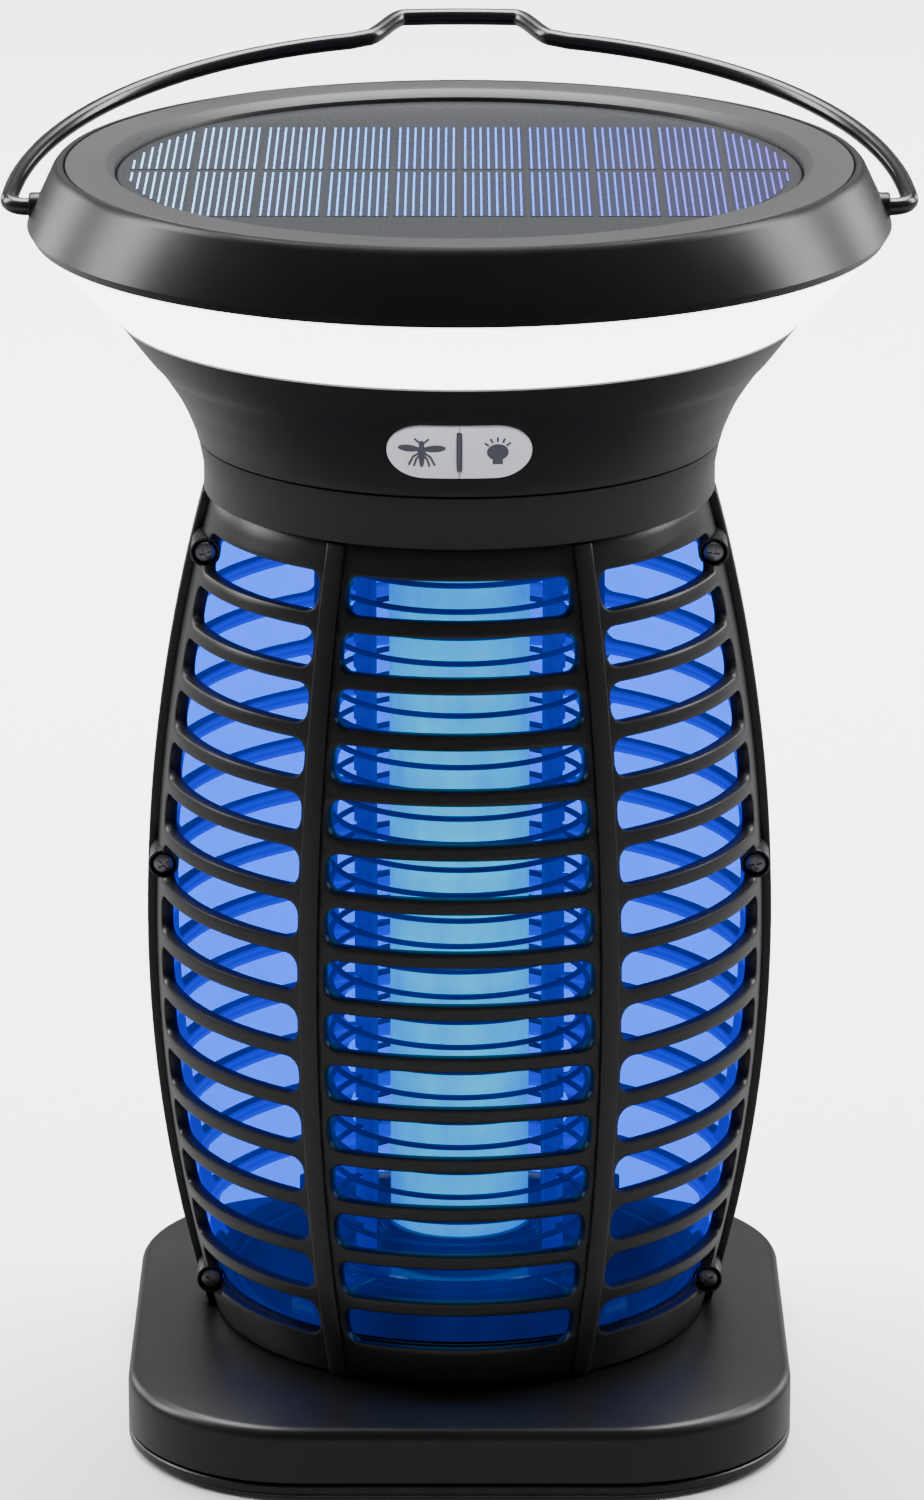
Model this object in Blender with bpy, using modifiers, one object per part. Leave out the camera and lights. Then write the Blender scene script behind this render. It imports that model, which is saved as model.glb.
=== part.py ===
"""Solar rechargeable bug zapper lantern, modelled as an assembly of separate pieces.

Metres, +Z up.  The lantern stands on Z = 0, its turning axis is the Z axis and its
front, where the buttons are, faces -Y.
"""
import math

import bmesh
import bpy
from mathutils import Matrix, Vector

MM = 0.001
DEG = math.pi / 180.0
OBJECT_NAME = "bug_zapper_lantern"

# Fits and fineness
CLEARANCE = 0.3 * MM            # between pieces that touch
SEGMENTS = 32                   # round a large turned piece
CAGE_SEGMENTS = 24              # round the cage
GRID_SEGMENTS = 12              # round a ring of the grid
SMALL_SEGMENTS = 8              # round a screw, hole or boss

# Base: a rounded square box that catches the insects
BASE_WIDTH = 133.2 * MM
BASE_CORNER = 35.0 * MM
BASE_SIDE_TOP = 15.2 * MM       # where the side wall meets the domed top
BASE_DOME_TOP = 17.6 * MM
BASE_EDGE = 2.6 * MM            # rounding of the upper edge
BASE_WALL = 2.2 * MM
DOME_MARGIN = 2.2 * MM          # flat ring of the dome, outside the cage's foot
PLATE_BOTTOM = 0.8 * MM
PLATE_TOP = 3.2 * MM
PLATE_EDGE = 1.0 * MM
FOOT_RADIUS = 6.0 * MM
FOOT_DEPTH = 2.0 * MM
FOOT_INSET = 13.7 * MM          # from a rounded corner's outermost point
FOOT_REACH = (BASE_WIDTH / 2.0 - BASE_CORNER) * math.sqrt(2.0) + BASE_CORNER - FOOT_INSET
BASE_SCREW_INSET = 9.6 * MM     # from the middle of a side
BASE_SCREW_REACH = BASE_WIDTH / 2.0 - BASE_SCREW_INSET
BASE_SCREW_LENGTH = 8.0 * MM
SCREW_HEAD_RADIUS = 2.1 * MM
SCREW_HEAD_HEIGHT = 1.5 * MM
SCREW_SHANK_RADIUS = 1.1 * MM
SCREW_BOSS_RADIUS = 3.0 * MM

# Cage: two moulded halves that meet at the sides; its outline is two arcs
CAGE_BOTTOM = BASE_DOME_TOP + CLEARANCE
CAGE_HEIGHT = 171.5 * MM
CAGE_TOP = CAGE_BOTTOM + CAGE_HEIGHT
CAGE_WALL = 2.6 * MM
BELLY_RADIUS = 62.9 * MM        # over the side flanges
BELLY_RISE = 81.1 * MM          # widest point, above the foot
BELLY_HEIGHT = CAGE_BOTTOM + BELLY_RISE
BULGE_ABOVE = 12.05 * MM        # how far the cage draws in from the belly to its top
BULGE_BELOW = 11.17 * MM
FOOT_FLANGE_RADIUS = BELLY_RADIUS - BULGE_BELOW
TOP_FLANGE_RADIUS = BELLY_RADIUS - BULGE_ABOVE
FLANGE_PROUD = 1.8 * MM
FLANGE_WIDTH = 4.0 * MM
RIB_PROUD = 1.0 * MM
RIB_WIDTH = 3.9 * MM
RIB_ANGLE = 28.5
BAR_ROOT = 0.8 * MM             # how deep ribs and flanges sink in the wall
SLOT_PITCH = 10.68 * MM
SLOT_HEIGHT = 7.7 * MM
SLOT_MARGIN = 6.0 * MM          # from the cage's top edge to the first slot
SLOT_TOP = CAGE_TOP - SLOT_MARGIN
SLOT_CORNER = 2.8 * MM
SLOT_TO_RIB = 3.0 * MM          # from the middle of a rib to the end of a slot
POST_DEPTH = 13.3 * MM          # side post, from the parting plane forward
CAGE_SCREW_INSET = 3.5 * MM
CAGE_SCREW_HEIGHTS = (CAGE_TOP - 10.4 * MM, CAGE_BOTTOM + 96.7 * MM, CAGE_BOTTOM + 8.1 * MM)
CAGE_SCREW_LENGTH = 17.0 * MM
BOSS_LENGTH = 13.0 * MM         # front boss, from the parting plane to the screw's seat

# Bayonet between base and cage
SPIGOT_INSET = 5.3 * MM
SPIGOT_RADIUS = FOOT_FLANGE_RADIUS - SPIGOT_INSET
SPIGOT_WALL = 1.9 * MM
GROOVE_BOTTOM = CAGE_BOTTOM + 2.5 * MM
GROOVE_HEIGHT = 3.0 * MM
GROOVE_DEPTH = 1.7 * MM
SPIGOT_TOP = GROOVE_BOTTOM + GROOVE_HEIGHT + 1.2 * MM
SKIRT_LAND = SPIGOT_TOP + 2.0 * CLEARANCE   # top of the cage's thick foot
SKIRT_SLOPE = 1.2 * MM
LUG_ANGLES = (70.0, 190.0, 310.0)
LUG_WIDTH = 9.0 * MM
TWIST_ANGLE = 25.0

# High-voltage grid and lamp
HOLDER_BOTTOM = SKIRT_LAND + 2.3 * MM
HOLDER_THICKNESS = 4.0 * MM
HOLDER_TOP = HOLDER_BOTTOM + HOLDER_THICKNESS
HOLDER_ARMS = (50.0, 130.0, 230.0, 310.0)
HOLDER_ARM_WIDTH = 6.0 * MM
CEILING_DROP = 3.8 * MM
CEILING_BOTTOM = CAGE_TOP - CEILING_DROP
CEILING_THICKNESS = 2.6 * MM
GRID_RADIUS = 26.0 * MM
GRID_WIRE = 0.75 * MM
GRID_PITCH = 5.3 * MM
GRID_MARGIN = 4.0 * MM          # least distance from the ceiling to a ring
GRID_BOTTOM = HOLDER_TOP + 6.5 * MM
GRID_RINGS = int((CEILING_BOTTOM - GRID_MARGIN - GRID_BOTTOM) / GRID_PITCH) + 1
HOLDER_RADIUS = GRID_RADIUS + 5.0 * MM
BUS_REACH = 3.4 * MM
BUS_WIDTH = 1.6 * MM
COMB_ANGLES = (37.0, 143.0, 217.0, 323.0)
COMB_DEPTH = 4.0 * MM
COMB_WIDTH = 3.0 * MM
LAMP_RADIUS = 14.0 * MM
LAMP_WALL = 1.3 * MM
LAMP_BOTTOM = HOLDER_TOP + 5.0 * CLEARANCE
LAMP_TOP = CEILING_BOTTOM - 1.6 * MM
SOCKET_WALL = 3.0 * MM
SOCKET_RADIUS = LAMP_RADIUS + SOCKET_WALL
SOCKET_HEIGHT = 4.0 * MM
LED_BOARD_GAP = 3.7 * MM        # from the board's edge to the inside of the lamp tube
LED_BOARD_WIDTH = 2.0 * (LAMP_RADIUS - LAMP_WALL - LED_BOARD_GAP)
BOARD_THICKNESS = 1.6 * MM

# Collar and neck
COLLAR_BOTTOM = CAGE_TOP + CLEARANCE
COLLAR_HEIGHT = 10.5 * MM
COLLAR_TOP = COLLAR_BOTTOM + COLLAR_HEIGHT
COLLAR_WAIST = TOP_FLANGE_RADIUS - 0.25 * MM
COLLAR_RIM = COLLAR_WAIST + 1.0 * MM
COLLAR_FOOT = 1.5 * MM          # extra wall in the lower half
NECK_BOTTOM = COLLAR_TOP + CLEARANCE
NECK_WALL = 2.2 * MM
NECK_FLARE = (                  # out from the collar's rim, up from the neck's foot
    (0.2 * MM, 0.0 * MM),
    (0.8 * MM, 2.1 * MM),
    (2.5 * MM, 6.2 * MM),
    (4.2 * MM, 9.4 * MM),
    (7.5 * MM, 14.3 * MM),
    (10.3 * MM, 17.5 * MM),
    (15.8 * MM, 24.7 * MM),
)
NECK_PROFILE = tuple((COLLAR_RIM + out, NECK_BOTTOM + up) for out, up in NECK_FLARE)
NECK_TOP_RADIUS, NECK_TOP = NECK_PROFILE[-1]
NECK_FLOOR_MARGIN = 2.1 * MM
NECK_FLOOR_THICKNESS = 2.4 * MM
REFLECTOR_INSET = 7.4 * MM
REFLECTOR_RADIUS = NECK_TOP_RADIUS - REFLECTOR_INSET
REFLECTOR_WALL = 1.8 * MM

# Buttons, set square to the flared surface of the neck
BUTTON_HEIGHT = NECK_BOTTOM + 10.4 * MM
BUTTON_LENGTH = 27.9 * MM
BUTTON_WIDTH = 14.4 * MM
BUTTON_PROUD = 0.5 * MM
BUTTON_DEPTH = 3.4 * MM
BUTTON_LIP = 1.0 * MM
DIVIDER_WIDTH = 1.0 * MM
DIVIDER_LENGTH = 8.0 * MM
SWITCH_SIZE = 6.0 * MM
SWITCH_HEIGHT = 3.4 * MM
SWITCH_GAP = 2.6 * MM           # from a key at rest to its switch
CUT_INWARD = 9.0 * MM           # how far an opening's cutter reaches each way
CUT_OUTWARD = 6.0 * MM

# Charging socket and its rubber cover, at the back
PORT_LENGTH = 9.4 * MM
PORT_WIDTH = 3.6 * MM
PORT_DEPTH = 7.4 * MM
PORT_WALL = 0.4 * MM
COVER_LENGTH = 17.0 * MM
COVER_WIDTH = 9.0 * MM
COVER_THICKNESS = 1.6 * MM

# Lamp ring and cap
CAP_RADIUS = 84.7 * MM
CAP_HEIGHT = 12.1 * MM          # the sloping skirt
CAP_SLOPE = 5.7 * MM
CAP_RIM_WIDTH = 1.7 * MM
CAP_WALL = 2.4 * MM
CAP_LIP = 1.6 * MM
CAP_LIP_BEVEL = 1.1 * MM
CAP_LIP_FOOT = 2.7 * MM           # inner edge of the lip's underside, from the rim
DIFFUSER_HEIGHT = 15.5 * MM
DIFFUSER_WALL = 2.9 * MM
DIFFUSER_BOTTOM = NECK_TOP + CLEARANCE
DIFFUSER_TOP = DIFFUSER_BOTTOM + DIFFUSER_HEIGHT
DIFFUSER_RADIUS = CAP_RADIUS - 1.3 * MM
CAP_BOTTOM = DIFFUSER_TOP + CLEARANCE + CAP_LIP
CAP_TOP = CAP_BOTTOM + CAP_HEIGHT
CAP_RIM_RADIUS = CAP_RADIUS - CAP_SLOPE
CAP_SEAM_RADIUS = CAP_RIM_RADIUS - CAP_RIM_WIDTH
SHELF_WIDTH = 3.8 * MM
SHELF_THICKNESS = 1.7 * MM
FRAME_THICKNESS = 2.8 * MM
FRAME_BEVEL = 1.4 * MM
PANEL_RADIUS = 67.0 * MM
PANEL_DROP = 2.1 * MM           # the panel lies this far under the cap's top
PANEL_TOP = CAP_TOP - PANEL_DROP
PANEL_THICKNESS = 2.2 * MM
FRAME_BEVEL_RADIUS = PANEL_RADIUS + 2.2 * MM
LEDGE_WIDTH = 6.5 * MM
LED_RING_GAP = 1.0 * MM         # from the white lamp board to the diffuser
LED_RING_INNER = REFLECTOR_RADIUS + 2.0 * MM
CAP_FLOOR_BOTTOM = DIFFUSER_TOP + 2.0 * CLEARANCE
CAP_FLOOR_THICKNESS = 1.6 * MM
CAP_FLOOR_HOLE = 30.0 * MM

# Batteries and electronics in the neck
CELL_RADIUS = 9.2 * MM
CELL_LENGTH = 65.0 * MM
CELL_SPACING = 20.0 * MM
HOLDER_PLATE = 2.4 * MM
HOLDER_ENDS = 14.0 * MM
CELL_HEIGHT = CAP_FLOOR_BOTTOM - 2.2 * MM - HOLDER_PLATE - CLEARANCE - CELL_RADIUS
BOARD_LENGTH = 62.0 * MM
BOARD_WIDTH = 44.0 * MM
BOARD_HEIGHT = NECK_BOTTOM + 6.5 * MM
POST_INSET = 4.0 * MM
POST_RADIUS = 2.5 * MM

# Bail handle
BAIL_WIRE = 1.75 * MM
BAIL_PIVOT_HEIGHT = CAP_BOTTOM + 2.7 * MM
BAIL_RADIUS = CAP_RADIUS + 3.7 * MM
BAIL_BEND = 3.8 * MM
BAIL_HUMP_HEIGHT = BAIL_RADIUS + 10.1 * MM
BAIL_HUMP_HALF_BASE = 19.5 * MM
BAIL_HUMP_HALF_TOP = 11.5 * MM
BAIL_LEAN = 11.0                # degrees above level, leaning to the back
BAIL_TIP = CAP_RADIUS - 5.1 * MM
BAIL_BOSS_RADIUS = 3.6 * MM
BAIL_BOSS_REACH = CAP_RADIUS - 0.4 * MM


# ---------------------------------------------------------------- helpers

def clear_scene():
    for item in list(bpy.data.objects):
        bpy.data.objects.remove(item, do_unlink=True)


def make_collection(name):
    collection = bpy.data.collections.new(name)
    bpy.context.scene.collection.children.link(collection)
    return collection


def make_material(name, colour, roughness, metallic=0.0):
    material = bpy.data.materials.new(name)
    material.use_nodes = True
    shader = material.node_tree.nodes["Principled BSDF"]
    shader.inputs["Base Color"].default_value = (*colour, 1.0)
    shader.inputs["Roughness"].default_value = roughness
    shader.inputs["Metallic"].default_value = metallic
    material.diffuse_color = (*colour, 1.0)
    return material


def add_mesh(name, mesh_data, material=None, cutter=False):
    """Link a bmesh as a named object, in the parts or in the cutters collection."""
    bmesh.ops.recalc_face_normals(mesh_data, faces=mesh_data.faces)
    mesh = bpy.data.meshes.new(name)
    mesh_data.to_mesh(mesh)
    mesh_data.free()
    item = bpy.data.objects.new(name, mesh)
    if cutter:
        item.hide_render = True
        item.display_type = "WIRE"
        CUTTERS.objects.link(item)
        return item
    mesh.materials.append(material)
    mesh.shade_smooth()
    mesh.set_sharp_from_angle(angle=35.0 * DEG)
    PARTS.objects.link(item)
    return item


def add_box(mesh_data, size, matrix, radius=0.0, axis=2, segments=3):
    """Add a box; with a radius, its edges along one local axis are rounded."""
    made = bmesh.ops.create_cube(mesh_data, size=1.0)
    corners = made["verts"]
    bmesh.ops.scale(mesh_data, verts=corners, vec=Vector(size))
    if radius > 0.0:
        edges = set()
        for corner in corners:
            for edge in corner.link_edges:
                along = (edge.verts[0].co - edge.verts[1].co).normalized()
                if abs(along[axis]) > 0.99:
                    edges.add(edge)
        made = bmesh.ops.bevel(
            mesh_data, geom=list(edges), offset=radius, offset_type="OFFSET",
            segments=segments, profile=0.5, affect="EDGES", material=-1,
        )
        corners = {v for face in made["faces"] for v in face.verts} | {
            v for v in corners if v.is_valid
        }
    bmesh.ops.transform(mesh_data, matrix=matrix, verts=list(corners))


def add_cylinder(mesh_data, radius, length, matrix, segments=SMALL_SEGMENTS):
    """Add a cylinder along local Z, centred on the matrix."""
    bmesh.ops.create_cone(
        mesh_data, cap_ends=True, segments=segments, radius1=radius, radius2=radius,
        depth=length, matrix=matrix,
    )


def along_axis(start, end):
    """A frame halfway between two points whose Z runs from one to the other."""
    start = Vector(start)
    end = Vector(end)
    turn = (end - start).to_track_quat("Z", "Y").to_matrix().to_4x4()
    return Matrix.Translation((start + end) / 2.0) @ turn


def add_rod(mesh_data, radius, start, end, segments=SMALL_SEGMENTS):
    length = (Vector(end) - Vector(start)).length
    add_cylinder(mesh_data, radius, length, along_axis(start, end), segments)


def turned(name, profile, material=None, cutter=False, steps=SEGMENTS, closed=True):
    """Turn a profile of (radius, height) about Z; it runs down its outer side."""
    mesh_data = bmesh.new()
    points = [mesh_data.verts.new((radius, 0.0, height)) for radius, height in profile]
    for first, second in zip(points, points[1:]):
        mesh_data.edges.new((first, second))
    if closed:
        mesh_data.edges.new((points[-1], points[0]))
    mesh = bpy.data.meshes.new(name)
    mesh_data.to_mesh(mesh)
    mesh_data.free()
    item = bpy.data.objects.new(name, mesh)
    screw = item.modifiers.new("turn", "SCREW")
    screw.axis = "Z"
    screw.angle = math.tau
    screw.steps = steps
    screw.render_steps = steps
    screw.use_merge_vertices = True
    screw.merge_threshold = 0.00001
    screw.use_smooth_shade = True
    if cutter:
        item.hide_render = True
        item.display_type = "WIRE"
        CUTTERS.objects.link(item)
    else:
        mesh.materials.append(material)
        PARTS.objects.link(item)
    return item


def disc(name, radius, bottom, top, material, hole=0.0, steps=SEGMENTS):
    """A flat disc, or a ring when it has a hole."""
    if hole > 0.0:
        profile = [(hole, top), (radius, top), (radius, bottom), (hole, bottom)]
        return turned(name, profile, material, steps=steps)
    profile = [(0.0, top), (radius, top), (radius, bottom), (0.0, bottom)]
    return turned(name, profile, material, steps=steps, closed=False)


def combine(target, other, operation):
    modifier = target.modifiers.new(operation.lower(), "BOOLEAN")
    modifier.operation = operation
    modifier.object = other
    modifier.solver = "EXACT"
    return target


def polar(radius, degrees, height=0.0):
    """A point at an azimuth, measured from +X towards +Y."""
    return Vector((radius * math.cos(degrees * DEG), radius * math.sin(degrees * DEG), height))


def loft(mesh_data, rings, cap_first=False, cap_last=False, close=False):
    """Skin rings that all have the same number of points."""
    loops = [[mesh_data.verts.new(point) for point in ring] for ring in rings]
    count = len(loops[0])
    pairs = list(zip(loops, loops[1:]))
    if close:
        pairs.append((loops[-1], loops[0]))
    for upper, lower in pairs:
        for index in range(count):
            following = (index + 1) % count
            mesh_data.faces.new((upper[index], upper[following], lower[following], lower[index]))
    if cap_first:
        mesh_data.faces.new(loops[0])
    if cap_last:
        mesh_data.faces.new(loops[-1])


# ---------------------------------------------------------------- base

def square_ring(inset, height, count=36):
    """A rounded square outline of the base, drawn in by an inset."""
    half = BASE_WIDTH / 2.0 - inset
    corner = BASE_CORNER - inset
    middle = half - corner
    ring = []
    for index in range(count):
        angle = math.tau * index / count
        along = max(abs(math.cos(angle)), abs(math.sin(angle)))
        across = min(abs(math.cos(angle)), abs(math.sin(angle)))
        reach = half / along
        if reach * across > middle:
            total = middle * (along + across)
            reach = total + math.sqrt(total * total - 2.0 * middle * middle + corner * corner)
        ring.append(Vector((reach * math.cos(angle), reach * math.sin(angle), height)))
    return ring


def round_ring(radius, height, count=36):
    return [polar(radius, 360.0 * index / count, height) for index in range(count)]


def screw_spots():
    """Places of the four screws that hold the bottom plate."""
    return [polar(BASE_SCREW_REACH, angle) for angle in (0.0, 90.0, 180.0, 270.0)]


def foot_spots():
    return [polar(FOOT_REACH, angle) for angle in (45.0, 135.0, 225.0, 315.0)]


def lug_box(mesh_data, angle, inner, outer, bottom, top, width):
    """A block standing across a radius, for a lug or for its way in."""
    middle = polar((inner + outer) / 2.0, angle, (bottom + top) / 2.0)
    turn = Matrix.Rotation(angle * DEG, 4, "Z")
    add_box(mesh_data, (outer - inner, width, top - bottom), Matrix.Translation(middle) @ turn)


def make_base_shell():
    side_bottom = PLATE_TOP + CLEARANCE
    spigot_inner = SPIGOT_RADIUS - SPIGOT_WALL
    dome_radius = FOOT_FLANGE_RADIUS + DOME_MARGIN
    under_dome = BASE_DOME_TOP - BASE_WALL
    shell = bmesh.new()
    rings = [
        square_ring(0.0, side_bottom),
        square_ring(0.0, BASE_SIDE_TOP - BASE_EDGE),
        square_ring(0.3 * BASE_EDGE, BASE_SIDE_TOP - 0.3 * BASE_EDGE),
        square_ring(BASE_EDGE, BASE_SIDE_TOP),
        round_ring(dome_radius, BASE_DOME_TOP),
        round_ring(SPIGOT_RADIUS, BASE_DOME_TOP),
        round_ring(SPIGOT_RADIUS, SPIGOT_TOP),
        round_ring(spigot_inner, SPIGOT_TOP),
        round_ring(spigot_inner, under_dome),
        square_ring(BASE_EDGE + BASE_WALL, BASE_SIDE_TOP - BASE_WALL),
        square_ring(BASE_WALL, BASE_SIDE_TOP - BASE_WALL - BASE_EDGE),
        square_ring(BASE_WALL, side_bottom),
    ]
    loft(shell, rings, close=True)
    base = add_mesh("base_shell", shell, BLACK_SATIN)

    extras = bmesh.new()
    lug_bottom = GROOVE_BOTTOM + CLEARANCE
    lug_top = GROOVE_BOTTOM + GROOVE_HEIGHT - CLEARANCE
    lug_reach = SPIGOT_RADIUS + GROOVE_DEPTH
    for angle in LUG_ANGLES:
        inner = SPIGOT_RADIUS - SPIGOT_WALL / 2.0
        lug_box(extras, angle, inner, lug_reach, lug_bottom, lug_top, LUG_WIDTH)
    for spot in screw_spots():
        start = spot + Vector((0.0, 0.0, side_bottom))
        end = spot + Vector((0.0, 0.0, under_dome))
        add_rod(extras, SCREW_BOSS_RADIUS, start, end)
    combine(base, add_mesh("base_extras", extras, cutter=True), "UNION")

    holes = bmesh.new()
    for spot in screw_spots():
        top = PLATE_BOTTOM + BASE_SCREW_LENGTH + 2.0 * CLEARANCE
        start = spot + Vector((0.0, 0.0, side_bottom - 1.0 * MM))
        add_rod(holes, SCREW_SHANK_RADIUS + CLEARANCE, start, spot + Vector((0.0, 0.0, top)))
    combine(base, add_mesh("base_pilot_holes", holes, cutter=True), "DIFFERENCE")


def make_bottom_plate():
    plate = bmesh.new()
    rings = [
        square_ring(0.0, PLATE_TOP),
        square_ring(0.0, PLATE_BOTTOM + PLATE_EDGE),
        square_ring(PLATE_EDGE, PLATE_BOTTOM),
    ]
    loft(plate, rings, cap_first=True, cap_last=True)
    bottom = add_mesh("bottom_plate", plate, BLACK_SATIN)
    pockets = bmesh.new()
    below = PLATE_BOTTOM - 1.0 * MM
    for spot in foot_spots():
        top = spot + Vector((0.0, 0.0, FOOT_DEPTH + CLEARANCE))
        start = spot + Vector((0.0, 0.0, below))
        add_rod(pockets, FOOT_RADIUS + CLEARANCE, start, top, segments=12)
    for spot in screw_spots():
        start = spot + Vector((0.0, 0.0, below))
        seat = PLATE_BOTTOM + SCREW_HEAD_HEIGHT
        add_rod(pockets, SCREW_HEAD_RADIUS + CLEARANCE, start, spot + Vector((0.0, 0.0, seat)))
    combine(bottom, add_mesh("plate_pockets", pockets, cutter=True), "DIFFERENCE")
    holes = bmesh.new()
    for spot in screw_spots():
        start = spot + Vector((0.0, 0.0, below))
        end = spot + Vector((0.0, 0.0, PLATE_TOP + 1.0 * MM))
        add_rod(holes, SCREW_SHANK_RADIUS + CLEARANCE, start, end)
    combine(bottom, add_mesh("plate_holes", holes, cutter=True), "DIFFERENCE")


def make_feet():
    for number, spot in enumerate(foot_spots(), start=1):
        foot = bmesh.new()
        add_rod(foot, FOOT_RADIUS, spot, spot + Vector((0.0, 0.0, FOOT_DEPTH)), segments=12)
        add_mesh(f"rubber_foot_{number}", foot, RUBBER)


def screw_mesh(head_top, length, direction):
    """A pan-head screw from the top of its head along a direction."""
    profile = bmesh.new()
    under = head_top + direction * SCREW_HEAD_HEIGHT
    # The head and shank are one stepped solid: rings from the head to the tip.
    turn = direction.to_track_quat("Z", "Y").to_matrix()
    rings = []
    head = SCREW_HEAD_RADIUS
    shank = SCREW_SHANK_RADIUS
    steps = (
        (head, head_top),
        (head, under),
        (shank, under),
        (shank, head_top + direction * length),
    )
    for radius, centre in steps:
        ring = []
        for index in range(SMALL_SEGMENTS):
            ring.append(centre + turn @ polar(radius, 360.0 * index / SMALL_SEGMENTS))
        rings.append(ring)
    loft(profile, rings, cap_first=True, cap_last=True)
    return profile


def make_base_screws():
    for number, spot in enumerate(screw_spots(), start=1):
        seat = PLATE_BOTTOM + SCREW_HEAD_HEIGHT - CLEARANCE
        head_top = spot + Vector((0.0, 0.0, seat - SCREW_HEAD_HEIGHT))
        up = Vector((0.0, 0.0, 1.0))
        length = BASE_SCREW_LENGTH + CLEARANCE
        add_mesh(f"base_screw_{number}", screw_mesh(head_top, length, up), STEEL)


# ---------------------------------------------------------------- cage

def arc_radius(height, drop):
    """Radius of an arc that starts upright and draws in by a drop over a height."""
    return (height * height + drop * drop) / (2.0 * drop)


def flange_radius(height):
    """Outer radius over the side flanges, two arcs that meet at the belly."""
    offset = height - BELLY_HEIGHT
    if offset > 0.0:
        arc = arc_radius(CAGE_TOP - BELLY_HEIGHT, BULGE_ABOVE)
    else:
        arc = arc_radius(BELLY_RISE, BULGE_BELOW)
    return BELLY_RADIUS - (arc - math.sqrt(arc * arc - offset * offset))


def slat_radius(height):
    return flange_radius(height) - FLANGE_PROUD


def slot_bottoms():
    """As many slots as fit between the cage's top and its thick foot."""
    count = int((SLOT_TOP - SLOT_HEIGHT - SKIRT_LAND) / SLOT_PITCH) + 1
    return [SLOT_TOP - SLOT_HEIGHT - SLOT_PITCH * index for index in range(count)]


def cage_levels():
    """Heights of the profile's points, top to bottom."""
    rows = 7
    step = (CAGE_TOP - CAGE_BOTTOM) / (rows - 1)
    return [CAGE_TOP - step * row for row in range(rows)]


def lug_corner():
    """Distance from the axis to a lug's outer corner."""
    return math.hypot(SPIGOT_RADIUS + GROOVE_DEPTH, LUG_WIDTH / 2.0)


def clear_of(radius):
    """Radius of the cage's inside whose flats stay clear of a round piece within."""
    return (radius + CLEARANCE) / math.cos(math.pi / CAGE_SEGMENTS)


def cage_profile():
    """Closed outline of the cage wall: down the outside, up the inside."""
    outside = [(slat_radius(z), z) for z in cage_levels()]
    land = clear_of(SPIGOT_RADIUS)
    groove = clear_of(lug_corner())
    groove_top = GROOVE_BOTTOM + GROOVE_HEIGHT
    inside = [(land, CAGE_BOTTOM), (land, GROOVE_BOTTOM), (groove, GROOVE_BOTTOM),
              (groove, groove_top), (land, groove_top), (land, SKIRT_LAND)]
    for z in [SKIRT_LAND + SKIRT_SLOPE] + cage_levels()[::-1]:
        if z > SKIRT_LAND:
            inside.append((slat_radius(z) - CAGE_WALL, z))
    return outside + inside


def add_sector(mesh_data, profile, middle, width_degrees):
    """A closed wedge of a turned profile about one azimuth."""
    half = width_degrees / 2.0
    rings = []
    for angle in (middle - half, middle + half):
        rings.append([polar(radius, angle, height) for radius, height in profile])
    loft(mesh_data, rings, cap_first=True, cap_last=True)


def bar_profile(outer_offset, inner_offset):
    """Outline of a rib or flange bar that follows the cage's curve."""
    levels = cage_levels()
    outside = [(slat_radius(z) + outer_offset, z) for z in levels]
    inside = [(slat_radius(z) - inner_offset, z) for z in reversed(levels)]
    return outside + inside


def slot_cutters(name, facing):
    """Every slot of one half, cut straight along Y as the mould parts."""
    slots = bmesh.new()
    reach = BELLY_RADIUS + 10.0 * MM
    for bottom in slot_bottoms():
        middle = bottom + SLOT_HEIGHT / 2.0
        rib = slat_radius(middle) * math.sin(RIB_ANGLE * DEG)
        gap = SLOT_TO_RIB * math.cos(RIB_ANGLE * DEG)
        size = (2.0 * (rib - gap), reach, SLOT_HEIGHT)
        place = Matrix.Translation((0.0, facing * (reach / 2.0 + POST_DEPTH), middle))
        add_box(slots, size, place, SLOT_CORNER, axis=1, segments=1)
        start = rib + gap
        length = reach - start + 2.0 * SLOT_CORNER
        for side in (-1.0, 1.0):
            size = (length, reach, SLOT_HEIGHT)
            centre = (side * (start + length / 2.0), facing * (reach / 2.0 + POST_DEPTH), middle)
            add_box(slots, size, Matrix.Translation(centre), SLOT_CORNER, axis=1, segments=1)
    return add_mesh(name, slots, cutter=True)


def cage_screw_spots():
    """X and Z of the six screws that join the halves."""
    spots = []
    for side in (-1.0, 1.0):
        for height in CAGE_SCREW_HEIGHTS:
            spots.append((side * (flange_radius(height) - CAGE_SCREW_INSET), height))
    return spots


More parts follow.
